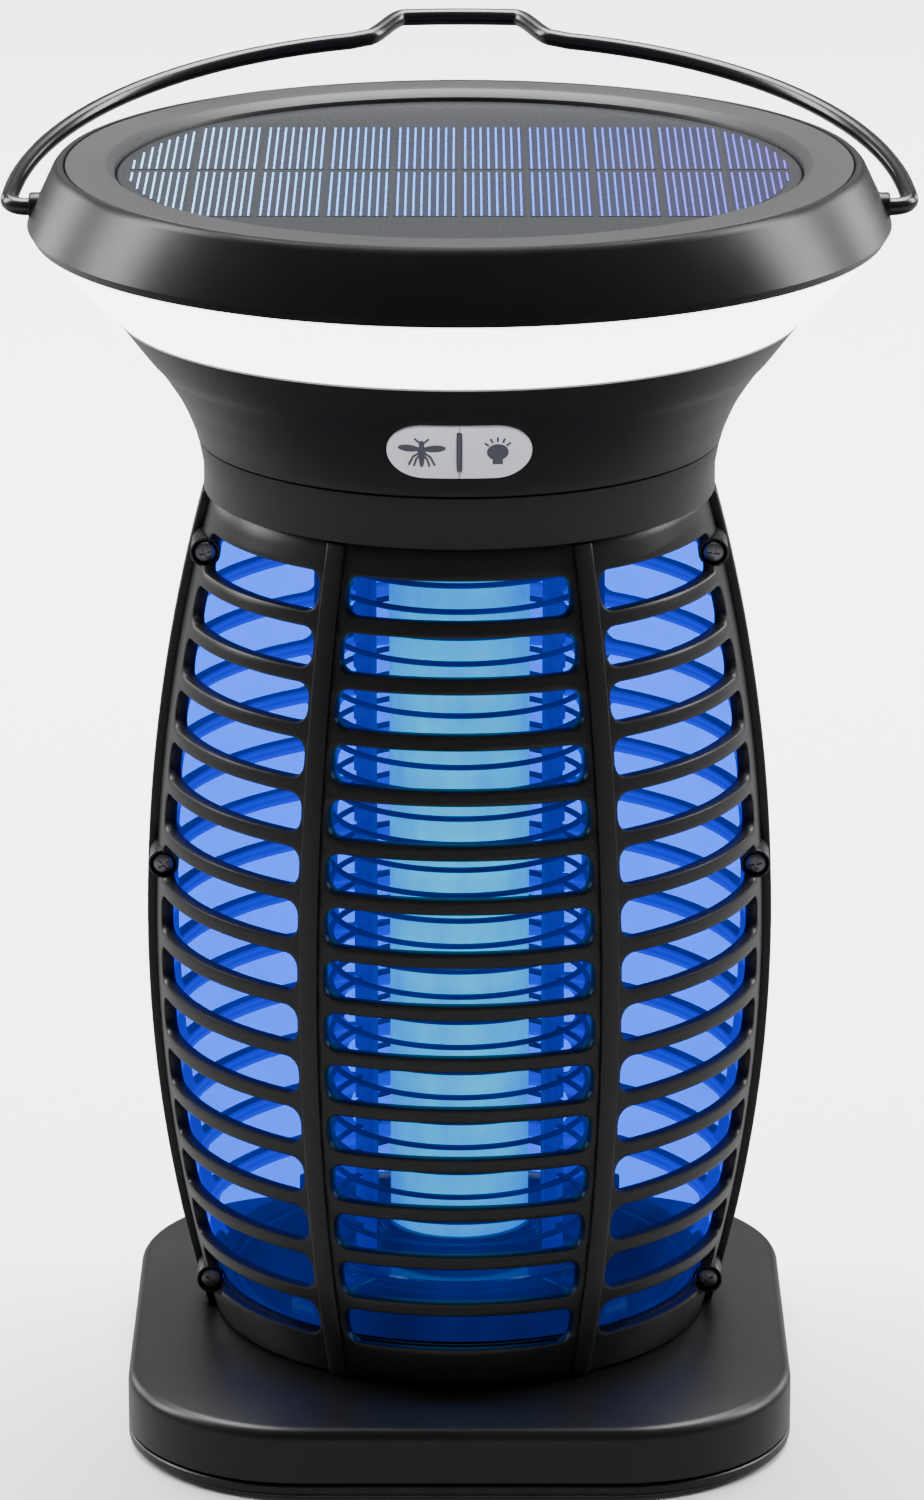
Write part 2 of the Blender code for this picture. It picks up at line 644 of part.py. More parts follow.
def make_cage_half(name, facing):
    """One half of the cage; facing is -1 for the front and +1 for the back."""
    shell = turned(name, cage_profile(), BLACK_SATIN, steps=CAGE_SEGMENTS)
    bars = bmesh.new()
    rib_degrees = RIB_WIDTH / BELLY_RADIUS / DEG
    flange_degrees = 2.0 * FLANGE_WIDTH / BELLY_RADIUS / DEG
    straight = 90.0 * facing
    for side in (-1.0, 1.0):
        add_sector(bars, bar_profile(RIB_PROUD, BAR_ROOT), straight + side * RIB_ANGLE, rib_degrees)
        add_sector(bars, bar_profile(FLANGE_PROUD, BAR_ROOT), straight + side * 90.0, flange_degrees)
    combine(shell, add_mesh(name + "_bars", bars, cutter=True), "UNION")
    combine(shell, slot_cutters(name + "_slots", facing), "DIFFERENCE")

    bosses = bmesh.new()
    for x, z in cage_screw_spots():
        end = BOSS_LENGTH if facing < 0.0 else CAGE_SCREW_LENGTH - BOSS_LENGTH + 4.0 * MM
        add_rod(bosses, SCREW_BOSS_RADIUS, (x, 0.0, z), (x, facing * end, z))
    combine(shell, add_mesh(name + "_bosses", bosses, cutter=True), "UNION")

    half = bmesh.new()
    reach = 3.0 * BELLY_RADIUS
    place = Matrix.Translation((0.0, facing * (reach + CLEARANCE) / 2.0, reach / 2.0))
    add_box(half, (reach, reach, 2.0 * reach), place)
    combine(shell, add_mesh(name + "_half_space", half, cutter=True), "INTERSECT")

    holes = bmesh.new()
    bore = SCREW_SHANK_RADIUS + CLEARANCE
    for x, z in cage_screw_spots():
        if facing < 0.0:
            seat = BOSS_LENGTH - SCREW_HEAD_HEIGHT
            add_rod(holes, bore, (x, 1.0 * MM, z), (x, -seat - 0.5 * MM, z))
        else:
            depth = CAGE_SCREW_LENGTH - BOSS_LENGTH + 2.0 * CLEARANCE
            add_rod(holes, bore, (x, -1.0 * MM, z), (x, depth, z))
    combine(shell, add_mesh(name + "_bores", holes, cutter=True), "DIFFERENCE")
    if facing < 0.0:
        seats = bmesh.new()
        for x, z in cage_screw_spots():
            seat = BOSS_LENGTH - SCREW_HEAD_HEIGHT
            head = SCREW_HEAD_RADIUS + CLEARANCE
            add_rod(seats, head, (x, -seat, z), (x, -seat - 12.0 * MM, z))
        combine(shell, add_mesh(name + "_seats", seats, cutter=True), "DIFFERENCE")

    ways = bmesh.new()
    for angle in LUG_ANGLES:
        inner = SPIGOT_RADIUS - 1.0 * MM
        outer = lug_corner() + CLEARANCE
        width = LUG_WIDTH + 4.0 * CLEARANCE
        low = CAGE_BOTTOM - 1.0 * MM
        lug_box(ways, angle + TWIST_ANGLE, inner, outer, low, GROOVE_BOTTOM + 1.0 * MM, width)
    combine(shell, add_mesh(name + "_ways_in", ways, cutter=True), "DIFFERENCE")


def make_cage_screws():
    for number, (x, z) in enumerate(cage_screw_spots(), start=1):
        seat = BOSS_LENGTH - SCREW_HEAD_HEIGHT
        head_top = Vector((x, -seat - CLEARANCE - SCREW_HEAD_HEIGHT, z))
        inward = Vector((0.0, 1.0, 0.0))
        add_mesh(f"cage_screw_{number}", screw_mesh(head_top, CAGE_SCREW_LENGTH, inward), STEEL)


# ---------------------------------------------------------------- grid and lamp

def make_grid(name, first, bus_angle):
    """Every second ring of the grid, joined by an upright bus bar outside them."""
    heights = [GRID_BOTTOM + GRID_PITCH * index for index in range(first, GRID_RINGS, 2)]
    wire = GRID_WIRE
    bus = bmesh.new()
    outer = GRID_RADIUS + BUS_REACH
    turn = Matrix.Rotation(bus_angle * DEG, 4, "Z")
    span = heights[-1] - heights[0] + 2.0 * wire
    place = Matrix.Translation((outer, 0.0, (heights[0] + heights[-1]) / 2.0))
    add_box(bus, (BUS_WIDTH, BUS_WIDTH, span), turn @ place)
    bar = add_mesh(name, bus, STEEL)
    stubs = bmesh.new()
    for z in heights:
        middle = GRID_RADIUS + BUS_REACH / 2.0
        place = Matrix.Translation((middle, 0.0, z))
        add_box(stubs, (BUS_REACH + wire, 1.2 * wire, 1.2 * wire), turn @ place)
    combine(bar, add_mesh(name + "_stubs", stubs, cutter=True), "UNION")
    loops = bmesh.new()
    for z in heights:
        section = [(GRID_RADIUS + wire, z + wire), (GRID_RADIUS + wire, z - wire),
                   (GRID_RADIUS - wire, z)]
        around = []
        for index in range(GRID_SEGMENTS):
            angle = 360.0 * (index + 0.5) / GRID_SEGMENTS
            around.append([polar(radius, angle, height) for radius, height in section])
        loft(loops, around, close=True)
    combine(bar, add_mesh(name + "_rings", loops, cutter=True), "UNION")


def make_combs():
    flat = (GRID_RADIUS - GRID_WIRE) * math.cos(math.pi / GRID_SEGMENTS)
    inner = flat - CLEARANCE - COMB_DEPTH
    bottom = HOLDER_TOP + CLEARANCE
    top = CEILING_BOTTOM - CLEARANCE
    for number, angle in enumerate(COMB_ANGLES, start=1):
        bar = bmesh.new()
        lug_box(bar, angle, inner, inner + COMB_DEPTH, bottom, top, COMB_WIDTH)
        add_mesh(f"grid_comb_{number}", bar, CLEAR_PLASTIC)


def make_grid_holders():
    holder = disc("lower_grid_holder", HOLDER_RADIUS, HOLDER_BOTTOM, HOLDER_TOP, BLACK_GLOSS)
    arms = bmesh.new()
    wall = (slat_radius(HOLDER_BOTTOM) - CAGE_WALL) * math.cos(math.pi / CAGE_SEGMENTS)
    for angle in HOLDER_ARMS:
        inner = HOLDER_RADIUS - 3.0 * MM
        low = HOLDER_BOTTOM + 0.5 * MM
        reach = math.sqrt((wall - CLEARANCE) ** 2 - (HOLDER_ARM_WIDTH / 2.0) ** 2)
        lug_box(arms, angle, inner, reach, low, HOLDER_TOP - 0.5 * MM, HOLDER_ARM_WIDTH)
    combine(holder, add_mesh("holder_arms", arms, cutter=True), "UNION")
    upper = CEILING_BOTTOM + CEILING_THICKNESS
    inside = (slat_radius(CAGE_TOP) - CAGE_WALL) * math.cos(math.pi / CAGE_SEGMENTS)
    disc("upper_grid_holder", inside - CLEARANCE, CEILING_BOTTOM, upper, BLACK_GLOSS)


def make_lamp():
    inner = LAMP_RADIUS - LAMP_WALL
    profile = [(inner, LAMP_TOP), (LAMP_RADIUS, LAMP_TOP), (LAMP_RADIUS, LAMP_BOTTOM),
               (inner, LAMP_BOTTOM)]
    turned("lamp_tube", profile, LAMP_GLOW, steps=24)
    bottom = HOLDER_TOP + CLEARANCE
    hole = LAMP_RADIUS + CLEARANCE
    disc("lamp_socket", SOCKET_RADIUS, bottom, bottom + SOCKET_HEIGHT, BLACK_GLOSS, hole, 24)
    top = CEILING_BOTTOM - CLEARANCE
    disc("lamp_top_socket", SOCKET_RADIUS, top - SOCKET_HEIGHT, top, BLACK_GLOSS, hole, 24)
    board = bmesh.new()
    height = top - bottom
    place = Matrix.Translation((0.0, 0.0, bottom + height / 2.0))
    add_box(board, (LED_BOARD_WIDTH, BOARD_THICKNESS, height), place)
    add_mesh("uv_led_board", board, BOARD_WHITE)


# ---------------------------------------------------------------- collar and neck

def make_collar():
    wall = NECK_WALL
    middle = (COLLAR_BOTTOM + COLLAR_TOP) / 2.0
    profile = [
        (COLLAR_RIM - wall, COLLAR_TOP), (COLLAR_RIM, COLLAR_TOP),
        (COLLAR_WAIST, middle), (COLLAR_WAIST, COLLAR_BOTTOM),
        (COLLAR_WAIST - wall - COLLAR_FOOT, COLLAR_BOTTOM),
        (COLLAR_WAIST - wall - COLLAR_FOOT, middle), (COLLAR_RIM - wall, middle + COLLAR_FOOT),
    ]
    turned("collar", profile, BLACK_SATIN)


def neck_outline(outer_offset, inner_offset):
    """The neck's flared wall between two distances from its outside face."""
    normals = []
    count = len(NECK_PROFILE)
    for index in range(count):
        before = Vector(NECK_PROFILE[max(index - 1, 0)])
        after = Vector(NECK_PROFILE[min(index + 1, count - 1)])
        run = (after - before).normalized()
        normals.append(Vector((run.y, -run.x)))
    outside = []
    inside = []
    for point, normal in zip(NECK_PROFILE, normals):
        outside.append(tuple(Vector(point) + normal * outer_offset))
        inside.append(tuple(Vector(point) - normal * inner_offset))
    outside.reverse()
    return outside, inside


def surface_frame(facing):
    """Frame on the neck's face at the buttons' height: Z is the outward normal."""
    lower = Vector(NECK_PROFILE[2])
    upper = Vector(NECK_PROFILE[4])
    share = (BUTTON_HEIGHT - lower.y) / (upper.y - lower.y)
    radius = lower.x + (upper.x - lower.x) * share
    run = (upper - lower).normalized()
    outward = Vector((0.0, facing * run.y, -run.x))
    across = Vector((-facing, 0.0, 0.0))
    along = outward.cross(across)
    turn = Matrix((across, along, outward)).transposed().to_4x4()
    return Matrix.Translation((0.0, facing * radius, BUTTON_HEIGHT)) @ turn


def add_pill(mesh_data, length, width, low, high, frame, start=-1.0, end=1.0):
    """A pill standing on the neck; start and end trim it to a share of its length."""
    reach = length / 2.0
    size = (length, width, high - low)
    place = frame @ Matrix.Translation((0.0, 0.0, (low + high) / 2.0))
    add_box(mesh_data, size, place, 0.4999 * width, axis=2, segments=4)
    if start > -1.0 or end < 1.0:
        for limit, side in ((start, -1.0), (end, 1.0)):
            if abs(limit) >= 1.0:
                continue
            normal = frame.to_3x3() @ Vector((side, 0.0, 0.0))
            point = frame @ Vector((limit * reach, 0.0, 0.0))
            cut = bmesh.ops.bisect_plane(
                mesh_data, geom=mesh_data.verts[:] + mesh_data.edges[:] + mesh_data.faces[:],
                plane_co=point, plane_no=normal, clear_outer=True,
            )
            rim = [item for item in cut["geom_cut"] if isinstance(item, bmesh.types.BMEdge)]
            bmesh.ops.edgeloop_fill(mesh_data, edges=rim)


def make_neck():
    outside, inside = neck_outline(0.0, NECK_WALL)
    top = NECK_TOP
    flange = REFLECTOR_RADIUS + CLEARANCE
    foot_radius = NECK_PROFILE[0][0] - NECK_WALL
    inner_bottom = (foot_radius, NECK_BOTTOM)
    rim = [(flange, top), outside[0]]
    wall = outside[1:] + [inner_bottom] + inside[1:-1]
    under = [(inside[-1][0] - 1.0 * MM, top - NECK_WALL), (flange, top - NECK_WALL)]
    neck = turned("neck_housing", rim + wall + under, BLACK_SATIN)
    opening = bmesh.new()
    gap = 2.0 * CLEARANCE
    add_pill(opening, BUTTON_LENGTH + gap, BUTTON_WIDTH + gap, -CUT_INWARD, CUT_OUTWARD, surface_frame(-1.0))
    combine(neck, add_mesh("button_opening", opening, cutter=True), "DIFFERENCE")
    port = bmesh.new()
    add_pill(port, PORT_LENGTH + gap, PORT_WIDTH + gap, -CUT_INWARD, CUT_OUTWARD, surface_frame(1.0))
    combine(neck, add_mesh("port_opening", port, cutter=True), "DIFFERENCE")

    floor_bottom = NECK_BOTTOM + 1.0 * MM
    floor_top = floor_bottom + NECK_FLOOR_THICKNESS
    floor_radius = foot_radius - NECK_FLOOR_MARGIN
    floor = disc("neck_floor", floor_radius, floor_bottom, floor_top, BLACK_GLOSS)
    posts = bmesh.new()
    for x in (-1.0, 1.0):
        for y in (-1.0, 1.0):
            foot = Vector((BOARD_LENGTH / 2.0 - POST_INSET, BOARD_WIDTH / 2.0 - POST_INSET, 0.0))
            foot = Vector((x * foot.x, y * foot.y, 0.0))
            start = foot + Vector((0.0, 0.0, floor_bottom + 0.5 * MM))
            end = foot + Vector((0.0, 0.0, BOARD_HEIGHT - CLEARANCE))
            add_rod(posts, POST_RADIUS, start, end)
    combine(floor, add_mesh("board_posts", posts, cutter=True), "UNION")

    ring_bottom = top - NECK_WALL - 2.0 * MM
    ring_top = DIFFUSER_TOP + CLEARANCE
    hole = REFLECTOR_RADIUS - REFLECTOR_WALL
    disc("reflector_ring", REFLECTOR_RADIUS, ring_bottom, ring_top, WHITE_PLASTIC, hole)


def neck_band(name, outer_offset, inner_offset):
    """A turned band that follows the neck's face, to be trimmed to a key's outline."""
    outside, inside = neck_outline(outer_offset, inner_offset)
    return turned(name, outside + inside, cutter=True, steps=48)


def make_buttons():
    frame = surface_frame(-1.0)
    gap = CLEARANCE / BUTTON_LENGTH
    whole = neck_band("key_band", BUTTON_PROUD, BUTTON_DEPTH)
    lip = neck_band("key_lip_band", -NECK_WALL - CLEARANCE, BUTTON_DEPTH)
    # The frame's X runs to the viewer's right, so the lamp key is the positive half.
    halves = (("mosquito_button", -1.0, -gap), ("lamp_button", gap, 1.0))
    for name, start, end in halves:
        body = bmesh.new()
        add_pill(body, BUTTON_LENGTH, BUTTON_WIDTH, -CUT_INWARD, CUT_OUTWARD, frame, start, end)
        key = add_mesh(name, body, GREY_PLASTIC)
        combine(key, whole, "INTERSECT")
        edge = bmesh.new()
        wide = 2.0 * BUTTON_LIP
        add_pill(edge, BUTTON_LENGTH + wide, BUTTON_WIDTH + wide, -CUT_INWARD, CUT_OUTWARD,
                 frame, start, end)
        rim = add_mesh(name + "_lip", edge, cutter=True)
        combine(rim, lip, "INTERSECT")
        combine(key, rim, "UNION")
        notch = bmesh.new()
        size = (DIVIDER_WIDTH + 2.0 * CLEARANCE, DIVIDER_LENGTH + 2.0 * CLEARANCE, 24.0 * MM)
        add_box(notch, size, frame)
        combine(key, add_mesh(name + "_notch", notch, cutter=True), "DIFFERENCE")
    board_face = BUTTON_DEPTH + SWITCH_GAP + SWITCH_HEIGHT + CLEARANCE
    divider = bmesh.new()
    reach = BUTTON_PROUD + board_face - CLEARANCE
    place = frame @ Matrix.Translation((0.0, 0.0, BUTTON_PROUD - reach / 2.0))
    add_box(divider, (DIVIDER_WIDTH, DIVIDER_LENGTH, reach), place)
    add_mesh("button_divider", divider, BLACK_GLOSS)
    for name, side in (("mosquito_switch", -1.0), ("lamp_switch", 1.0)):
        switch = bmesh.new()
        centre = (side * BUTTON_LENGTH / 4.0, 0.0, -board_face + CLEARANCE + SWITCH_HEIGHT / 2.0)
        place = frame @ Matrix.Translation(centre)
        add_box(switch, (SWITCH_SIZE, SWITCH_SIZE, SWITCH_HEIGHT), place)
        add_mesh(name, switch, BLACK_GLOSS)
    board = bmesh.new()
    place = frame @ Matrix.Translation((0.0, 0.0, -board_face - BOARD_THICKNESS / 2.0))
    add_box(board, (BUTTON_LENGTH + 2.0 * MM, BUTTON_WIDTH, BOARD_THICKNESS), place)
    add_mesh("switch_board", board, BOARD_GREEN)


def cover_hinge():
    """Point on the port cover's hinge line, at its upper edge."""
    frame = surface_frame(1.0)
    return frame @ Vector((0.0, COVER_WIDTH / 2.0, CLEARANCE + COVER_THICKNESS / 2.0))


def make_port():
    frame = surface_frame(1.0)
    socket = bmesh.new()
    place = frame @ Matrix.Translation((0.0, 0.0, -PORT_DEPTH / 2.0 - 0.4 * MM))
    add_box(socket, (PORT_LENGTH, PORT_WIDTH, PORT_DEPTH), place, 1.4 * MM, axis=2, segments=2)
    port = add_mesh("charging_port", socket, STEEL)
    hollow = bmesh.new()
    size = (PORT_LENGTH - 2.0 * PORT_WALL, PORT_WIDTH - 2.0 * PORT_WALL, PORT_DEPTH)
    place = frame @ Matrix.Translation((0.0, 0.0, -PORT_DEPTH / 2.0 + 0.8 * MM))
    add_box(hollow, size, place)
    combine(port, add_mesh("port_hollow", hollow, cutter=True), "DIFFERENCE")

    flap = bmesh.new()
    place_low = -2.0 * MM
    add_pill(flap, COVER_LENGTH, COVER_WIDTH, place_low, CUT_OUTWARD, frame)
    cover = add_mesh("port_cover", flap, RUBBER)
    combine(cover, neck_band("cover_band", CLEARANCE + COVER_THICKNESS, -CLEARANCE), "INTERSECT")
    pivot = Matrix.Translation(cover_hinge())
    cover.data.transform(pivot.inverted())
    cover.matrix_world = pivot


# ---------------------------------------------------------------- lamp ring and cap

def make_diffuser():
    profile = [
        (DIFFUSER_RADIUS - DIFFUSER_WALL, DIFFUSER_TOP), (DIFFUSER_RADIUS, DIFFUSER_TOP),
        (NECK_TOP_RADIUS, DIFFUSER_BOTTOM), (NECK_TOP_RADIUS - DIFFUSER_WALL, DIFFUSER_BOTTOM),
    ]
    turned("diffuser_ring", profile, WHITE_PLASTIC)
    top = DIFFUSER_TOP + 0.5 * CLEARANCE
    low = top - BOARD_THICKNESS
    slope = (DIFFUSER_RADIUS - NECK_TOP_RADIUS) / DIFFUSER_HEIGHT
    inside = DIFFUSER_RADIUS - DIFFUSER_WALL - slope * (DIFFUSER_TOP - low)
    disc("white_led_board", inside - LED_RING_GAP, low, top, BOARD_WHITE, LED_RING_INNER)


def cap_radius(height):
    """Outer radius of the cap's sloping skirt."""
    share = (height - CAP_BOTTOM) / (CAP_TOP - CAP_BOTTOM)
    return CAP_RADIUS + (CAP_RIM_RADIUS - CAP_RADIUS) * share


def make_cap():
    lip_bottom = CAP_BOTTOM - CAP_LIP
    shelf_top = CAP_TOP - FRAME_THICKNESS - CLEARANCE
    shelf_bottom = shelf_top - SHELF_THICKNESS
    shelf_inner = CAP_SEAM_RADIUS - SHELF_WIDTH
    profile = [
        (CAP_SEAM_RADIUS, CAP_TOP), (CAP_RIM_RADIUS, CAP_TOP), (CAP_RADIUS, CAP_BOTTOM),
        (CAP_RADIUS - CAP_LIP_BEVEL, lip_bottom), (CAP_RADIUS - CAP_LIP_FOOT, lip_bottom),
        (CAP_RADIUS - CAP_WALL, CAP_BOTTOM), (cap_radius(shelf_bottom) - CAP_WALL, shelf_bottom),
        (shelf_inner, shelf_bottom), (shelf_inner, shelf_top), (CAP_SEAM_RADIUS, shelf_top),
    ]
    cap = turned("top_cap", profile, BLACK_GLOSS)
    bosses = bmesh.new()
    holes = bmesh.new()
    inner = cap_radius(BAIL_PIVOT_HEIGHT) - CAP_WALL + 0.8 * MM
    for side in (-1.0, 1.0):
        z = BAIL_PIVOT_HEIGHT
        add_rod(bosses, BAIL_BOSS_RADIUS, (side * inner, 0.0, z), (side * BAIL_BOSS_REACH, 0.0, z))
        bore = BAIL_WIRE + CLEARANCE
        add_rod(holes, bore, (side * (inner - 6.0 * MM), 0.0, z), (side * (BAIL_BOSS_REACH + 1.0 * MM), 0.0, z))
    combine(cap, add_mesh("bail_bosses", bosses, cutter=True), "UNION")
    combine(cap, add_mesh("bail_holes", holes, cutter=True), "DIFFERENCE")

    frame_outer = CAP_SEAM_RADIUS - CLEARANCE
    frame_bottom = CAP_TOP - FRAME_THICKNESS
    seat = PANEL_TOP - PANEL_THICKNESS - CLEARANCE
    under = seat - FRAME_BEVEL
    ledge = PANEL_RADIUS - LEDGE_WIDTH
    profile = [
        (FRAME_BEVEL_RADIUS, CAP_TOP), (frame_outer, CAP_TOP), (frame_outer, frame_bottom),
        (shelf_inner - CLEARANCE, frame_bottom), (shelf_inner - CLEARANCE, under),
        (ledge, under), (ledge, seat), (PANEL_RADIUS + CLEARANCE, seat),
        (PANEL_RADIUS + CLEARANCE, CAP_TOP - FRAME_BEVEL),
    ]
    turned("panel_frame", profile, BLACK_GLOSS)
    bottom = PANEL_TOP - PANEL_THICKNESS
    disc("solar_panel", PANEL_RADIUS, bottom, PANEL_TOP, SOLAR_BLUE)
    radius = CAP_RADIUS - CAP_WALL - 2.0 * CLEARANCE - 0.2 * MM
    top = CAP_FLOOR_BOTTOM + CAP_FLOOR_THICKNESS
    disc("cap_floor", radius, CAP_FLOOR_BOTTOM, top, BLACK_GLOSS, CAP_FLOOR_HOLE)


# ---------------------------------------------------------------- electronics

def make_electronics():
    for number, side in enumerate((-1.0, 1.0), start=1):
        cell = bmesh.new()
        y = side * CELL_SPACING / 2.0
        half = CELL_LENGTH / 2.0
        add_rod(cell, CELL_RADIUS, (-half, y, CELL_HEIGHT), (half, y, CELL_HEIGHT), segments=12)
        add_mesh(f"battery_cell_{number}", cell, CELL_BLUE)
    width = CELL_SPACING + 2.0 * CELL_RADIUS
    plate_bottom = CELL_HEIGHT + CELL_RADIUS + CLEARANCE
    holder = bmesh.new()
    length = CELL_LENGTH + 2.0 * (HOLDER_PLATE + CLEARANCE)
    place = Matrix.Translation((0.0, 0.0, plate_bottom + HOLDER_PLATE / 2.0))
    add_box(holder, (length, width, HOLDER_PLATE), place)
    tray = add_mesh("battery_holder", holder, BLACK_GLOSS)
    ends = bmesh.new()
    depth = HOLDER_ENDS
    for side in (-1.0, 1.0):
        x = side * (length - HOLDER_PLATE) / 2.0
        place = Matrix.Translation((x, 0.0, plate_bottom + HOLDER_PLATE / 2.0 - depth / 2.0))
        add_box(ends, (HOLDER_PLATE, width - 2.0 * MM, depth), place)
    combine(tray, add_mesh("holder_ends", ends, cutter=True), "UNION")

    board = bmesh.new()
    place = Matrix.Translation((0.0, 0.0, BOARD_HEIGHT + BOARD_THICKNESS / 2.0))
    add_box(board, (BOARD_LENGTH, BOARD_WIDTH, BOARD_THICKNESS), place)
    add_mesh("main_board", board, BOARD_GREEN)
    deck = BOARD_HEIGHT + BOARD_THICKNESS + CLEARANCE
    blocks = (
        ("hv_transformer", (14.0 * MM, 12.0 * MM, 5.0 * MM), -16.0 * MM, 8.0 * MM, YELLOW_TAPE),
        ("hv_capacitor", (12.0 * MM, 6.0 * MM, 5.5 * MM), 14.0 * MM, 10.0 * MM, RED_FILM),
        ("control_chip", (8.0 * MM, 6.0 * MM, 1.6 * MM), 4.0 * MM, -6.0 * MM, BLACK_GLOSS),
    )
    for name, size, x, y, material in blocks:
        block = bmesh.new()
        add_box(block, size, Matrix.Translation((x, y, deck + size[2] / 2.0)))
        add_mesh(name, block, material)


# ---------------------------------------------------------------- bail

def bail_route():
    """Centre line of half the wire, from the pivot's tip to the middle of the hump."""
    route = [(BAIL_TIP, 0.0)]
    bend_centre = BAIL_RADIUS - BAIL_BEND
    for index in range(4):
        angle = -90.0 + 90.0 * index / 3.0
        x = bend_centre + BAIL_BEND * math.cos(angle * DEG)
        route.append((x, BAIL_BEND + BAIL_BEND * math.sin(angle * DEG)))
    first = math.asin(2.0 * BAIL_BEND / BAIL_RADIUS) / DEG
    last = math.acos((BAIL_HUMP_HALF_BASE + 3.0 * MM) / BAIL_RADIUS) / DEG
    for index in range(10):
        angle = first + (last - first) * index / 9.0
        route.append((BAIL_RADIUS * math.cos(angle * DEG), BAIL_RADIUS * math.sin(angle * DEG)))
    start_height = math.sqrt(BAIL_RADIUS ** 2 - BAIL_HUMP_HALF_BASE ** 2) + 0.9 * MM
    rise = BAIL_HUMP_HEIGHT - start_height
    run = BAIL_HUMP_HALF_BASE - BAIL_HUMP_HALF_TOP
    for index in range(5):
        share = index / 4.0
        ease = share * share * (3.0 - 2.0 * share)
        route.append((BAIL_HUMP_HALF_BASE - run * share, start_height + rise * ease))
    route.append((BAIL_HUMP_HALF_TOP / 2.0, BAIL_HUMP_HEIGHT + 0.3 * MM))
    return route


def make_bail():
    half = bail_route()
    points = [(-x, y) for x, y in half] + [(0.0, BAIL_HUMP_HEIGHT + 0.4 * MM)]
    points += [(x, y) for x, y in reversed(half)]
    curve = bpy.data.curves.new("bail_handle", "CURVE")
    curve.dimensions = "3D"
    curve.bevel_depth = BAIL_WIRE
    curve.bevel_resolution = 2
    curve.use_fill_caps = True
    spline = curve.splines.new("POLY")
    spline.points.add(len(points) - 1)
    for point, (x, y) in zip(spline.points, points):
        point.co = (x, y, 0.0, 1.0)
    curve.materials.append(BLACK_GLOSS)
    bail = bpy.data.objects.new("bail_handle", curve)
    bail.location = (0.0, 0.0, BAIL_PIVOT_HEIGHT)
    bail.rotation_euler = (BAIL_LEAN * DEG, 0.0, 0.0)
    PARTS.objects.link(bail)


clear_scene()
PARTS = make_collection(OBJECT_NAME)
CUTTERS = make_collection("cutters")
BLACK_SATIN = make_material("black_satin_plastic", (0.018, 0.018, 0.019), 0.42)
BLACK_GLOSS = make_material("black_gloss_plastic", (0.012, 0.012, 0.013), 0.25)
GREY_PLASTIC = make_material("light_grey_plastic", (0.50, 0.50, 0.54), 0.45)
WHITE_PLASTIC = make_material("white_translucent_plastic", (0.90, 0.92, 0.93), 0.40)
CLEAR_PLASTIC = make_material("clear_blue_plastic", (0.10, 0.35, 0.80), 0.20)
LAMP_GLOW = make_material("cyan_lamp_plastic", (0.10, 0.65, 0.95), 0.30)
SOLAR_BLUE = make_material("solar_cells", (0.03, 0.04, 0.07), 0.22)
RUBBER = make_material("black_rubber", (0.02, 0.02, 0.02), 0.85)
STEEL = make_material("dark_steel", (0.25, 0.25, 0.26), 0.35, 1.0)
BOARD_GREEN = make_material("green_circuit_board", (0.02, 0.16, 0.06), 0.45)
BOARD_WHITE = make_material("white_circuit_board", (0.80, 0.80, 0.78), 0.45)
CELL_BLUE = make_material("battery_wrap", (0.03, 0.12, 0.35), 0.35)
YELLOW_TAPE = make_material("yellow_tape", (0.70, 0.50, 0.05), 0.40)
RED_FILM = make_material("red_film", (0.45, 0.04, 0.03), 0.35)

make_base_shell()
make_bottom_plate()
make_feet()
make_base_screws()
make_cage_half("cage_front", -1.0)
make_cage_half("cage_back", 1.0)
make_cage_screws()
make_grid("hv_grid_a", 0, 0.0)
make_grid("hv_grid_b", 1, 180.0)
make_combs()
make_grid_holders()
make_lamp()
make_collar()
make_neck()
make_buttons()
make_port()
make_diffuser()
make_cap()
make_electronics()
make_bail()
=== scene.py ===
import math

import bmesh
import bpy
from mathutils import Matrix, Vector


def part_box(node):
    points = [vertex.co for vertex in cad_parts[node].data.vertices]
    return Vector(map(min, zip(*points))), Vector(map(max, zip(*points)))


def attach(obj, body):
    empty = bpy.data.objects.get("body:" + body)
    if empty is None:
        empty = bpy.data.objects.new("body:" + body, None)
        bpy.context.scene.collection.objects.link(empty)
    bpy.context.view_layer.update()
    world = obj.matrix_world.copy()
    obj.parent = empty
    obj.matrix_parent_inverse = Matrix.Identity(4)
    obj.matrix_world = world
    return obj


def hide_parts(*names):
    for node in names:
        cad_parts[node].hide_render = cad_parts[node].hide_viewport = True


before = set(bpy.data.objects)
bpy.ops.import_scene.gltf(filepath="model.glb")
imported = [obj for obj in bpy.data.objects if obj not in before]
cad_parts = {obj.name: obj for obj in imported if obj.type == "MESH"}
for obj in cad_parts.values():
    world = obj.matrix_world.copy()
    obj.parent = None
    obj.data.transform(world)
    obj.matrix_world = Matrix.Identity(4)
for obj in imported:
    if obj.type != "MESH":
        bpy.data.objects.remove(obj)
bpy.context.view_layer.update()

MM = 0.001
DEG = math.pi / 180.0
STEPS = 144                        # facets round a large turned piece

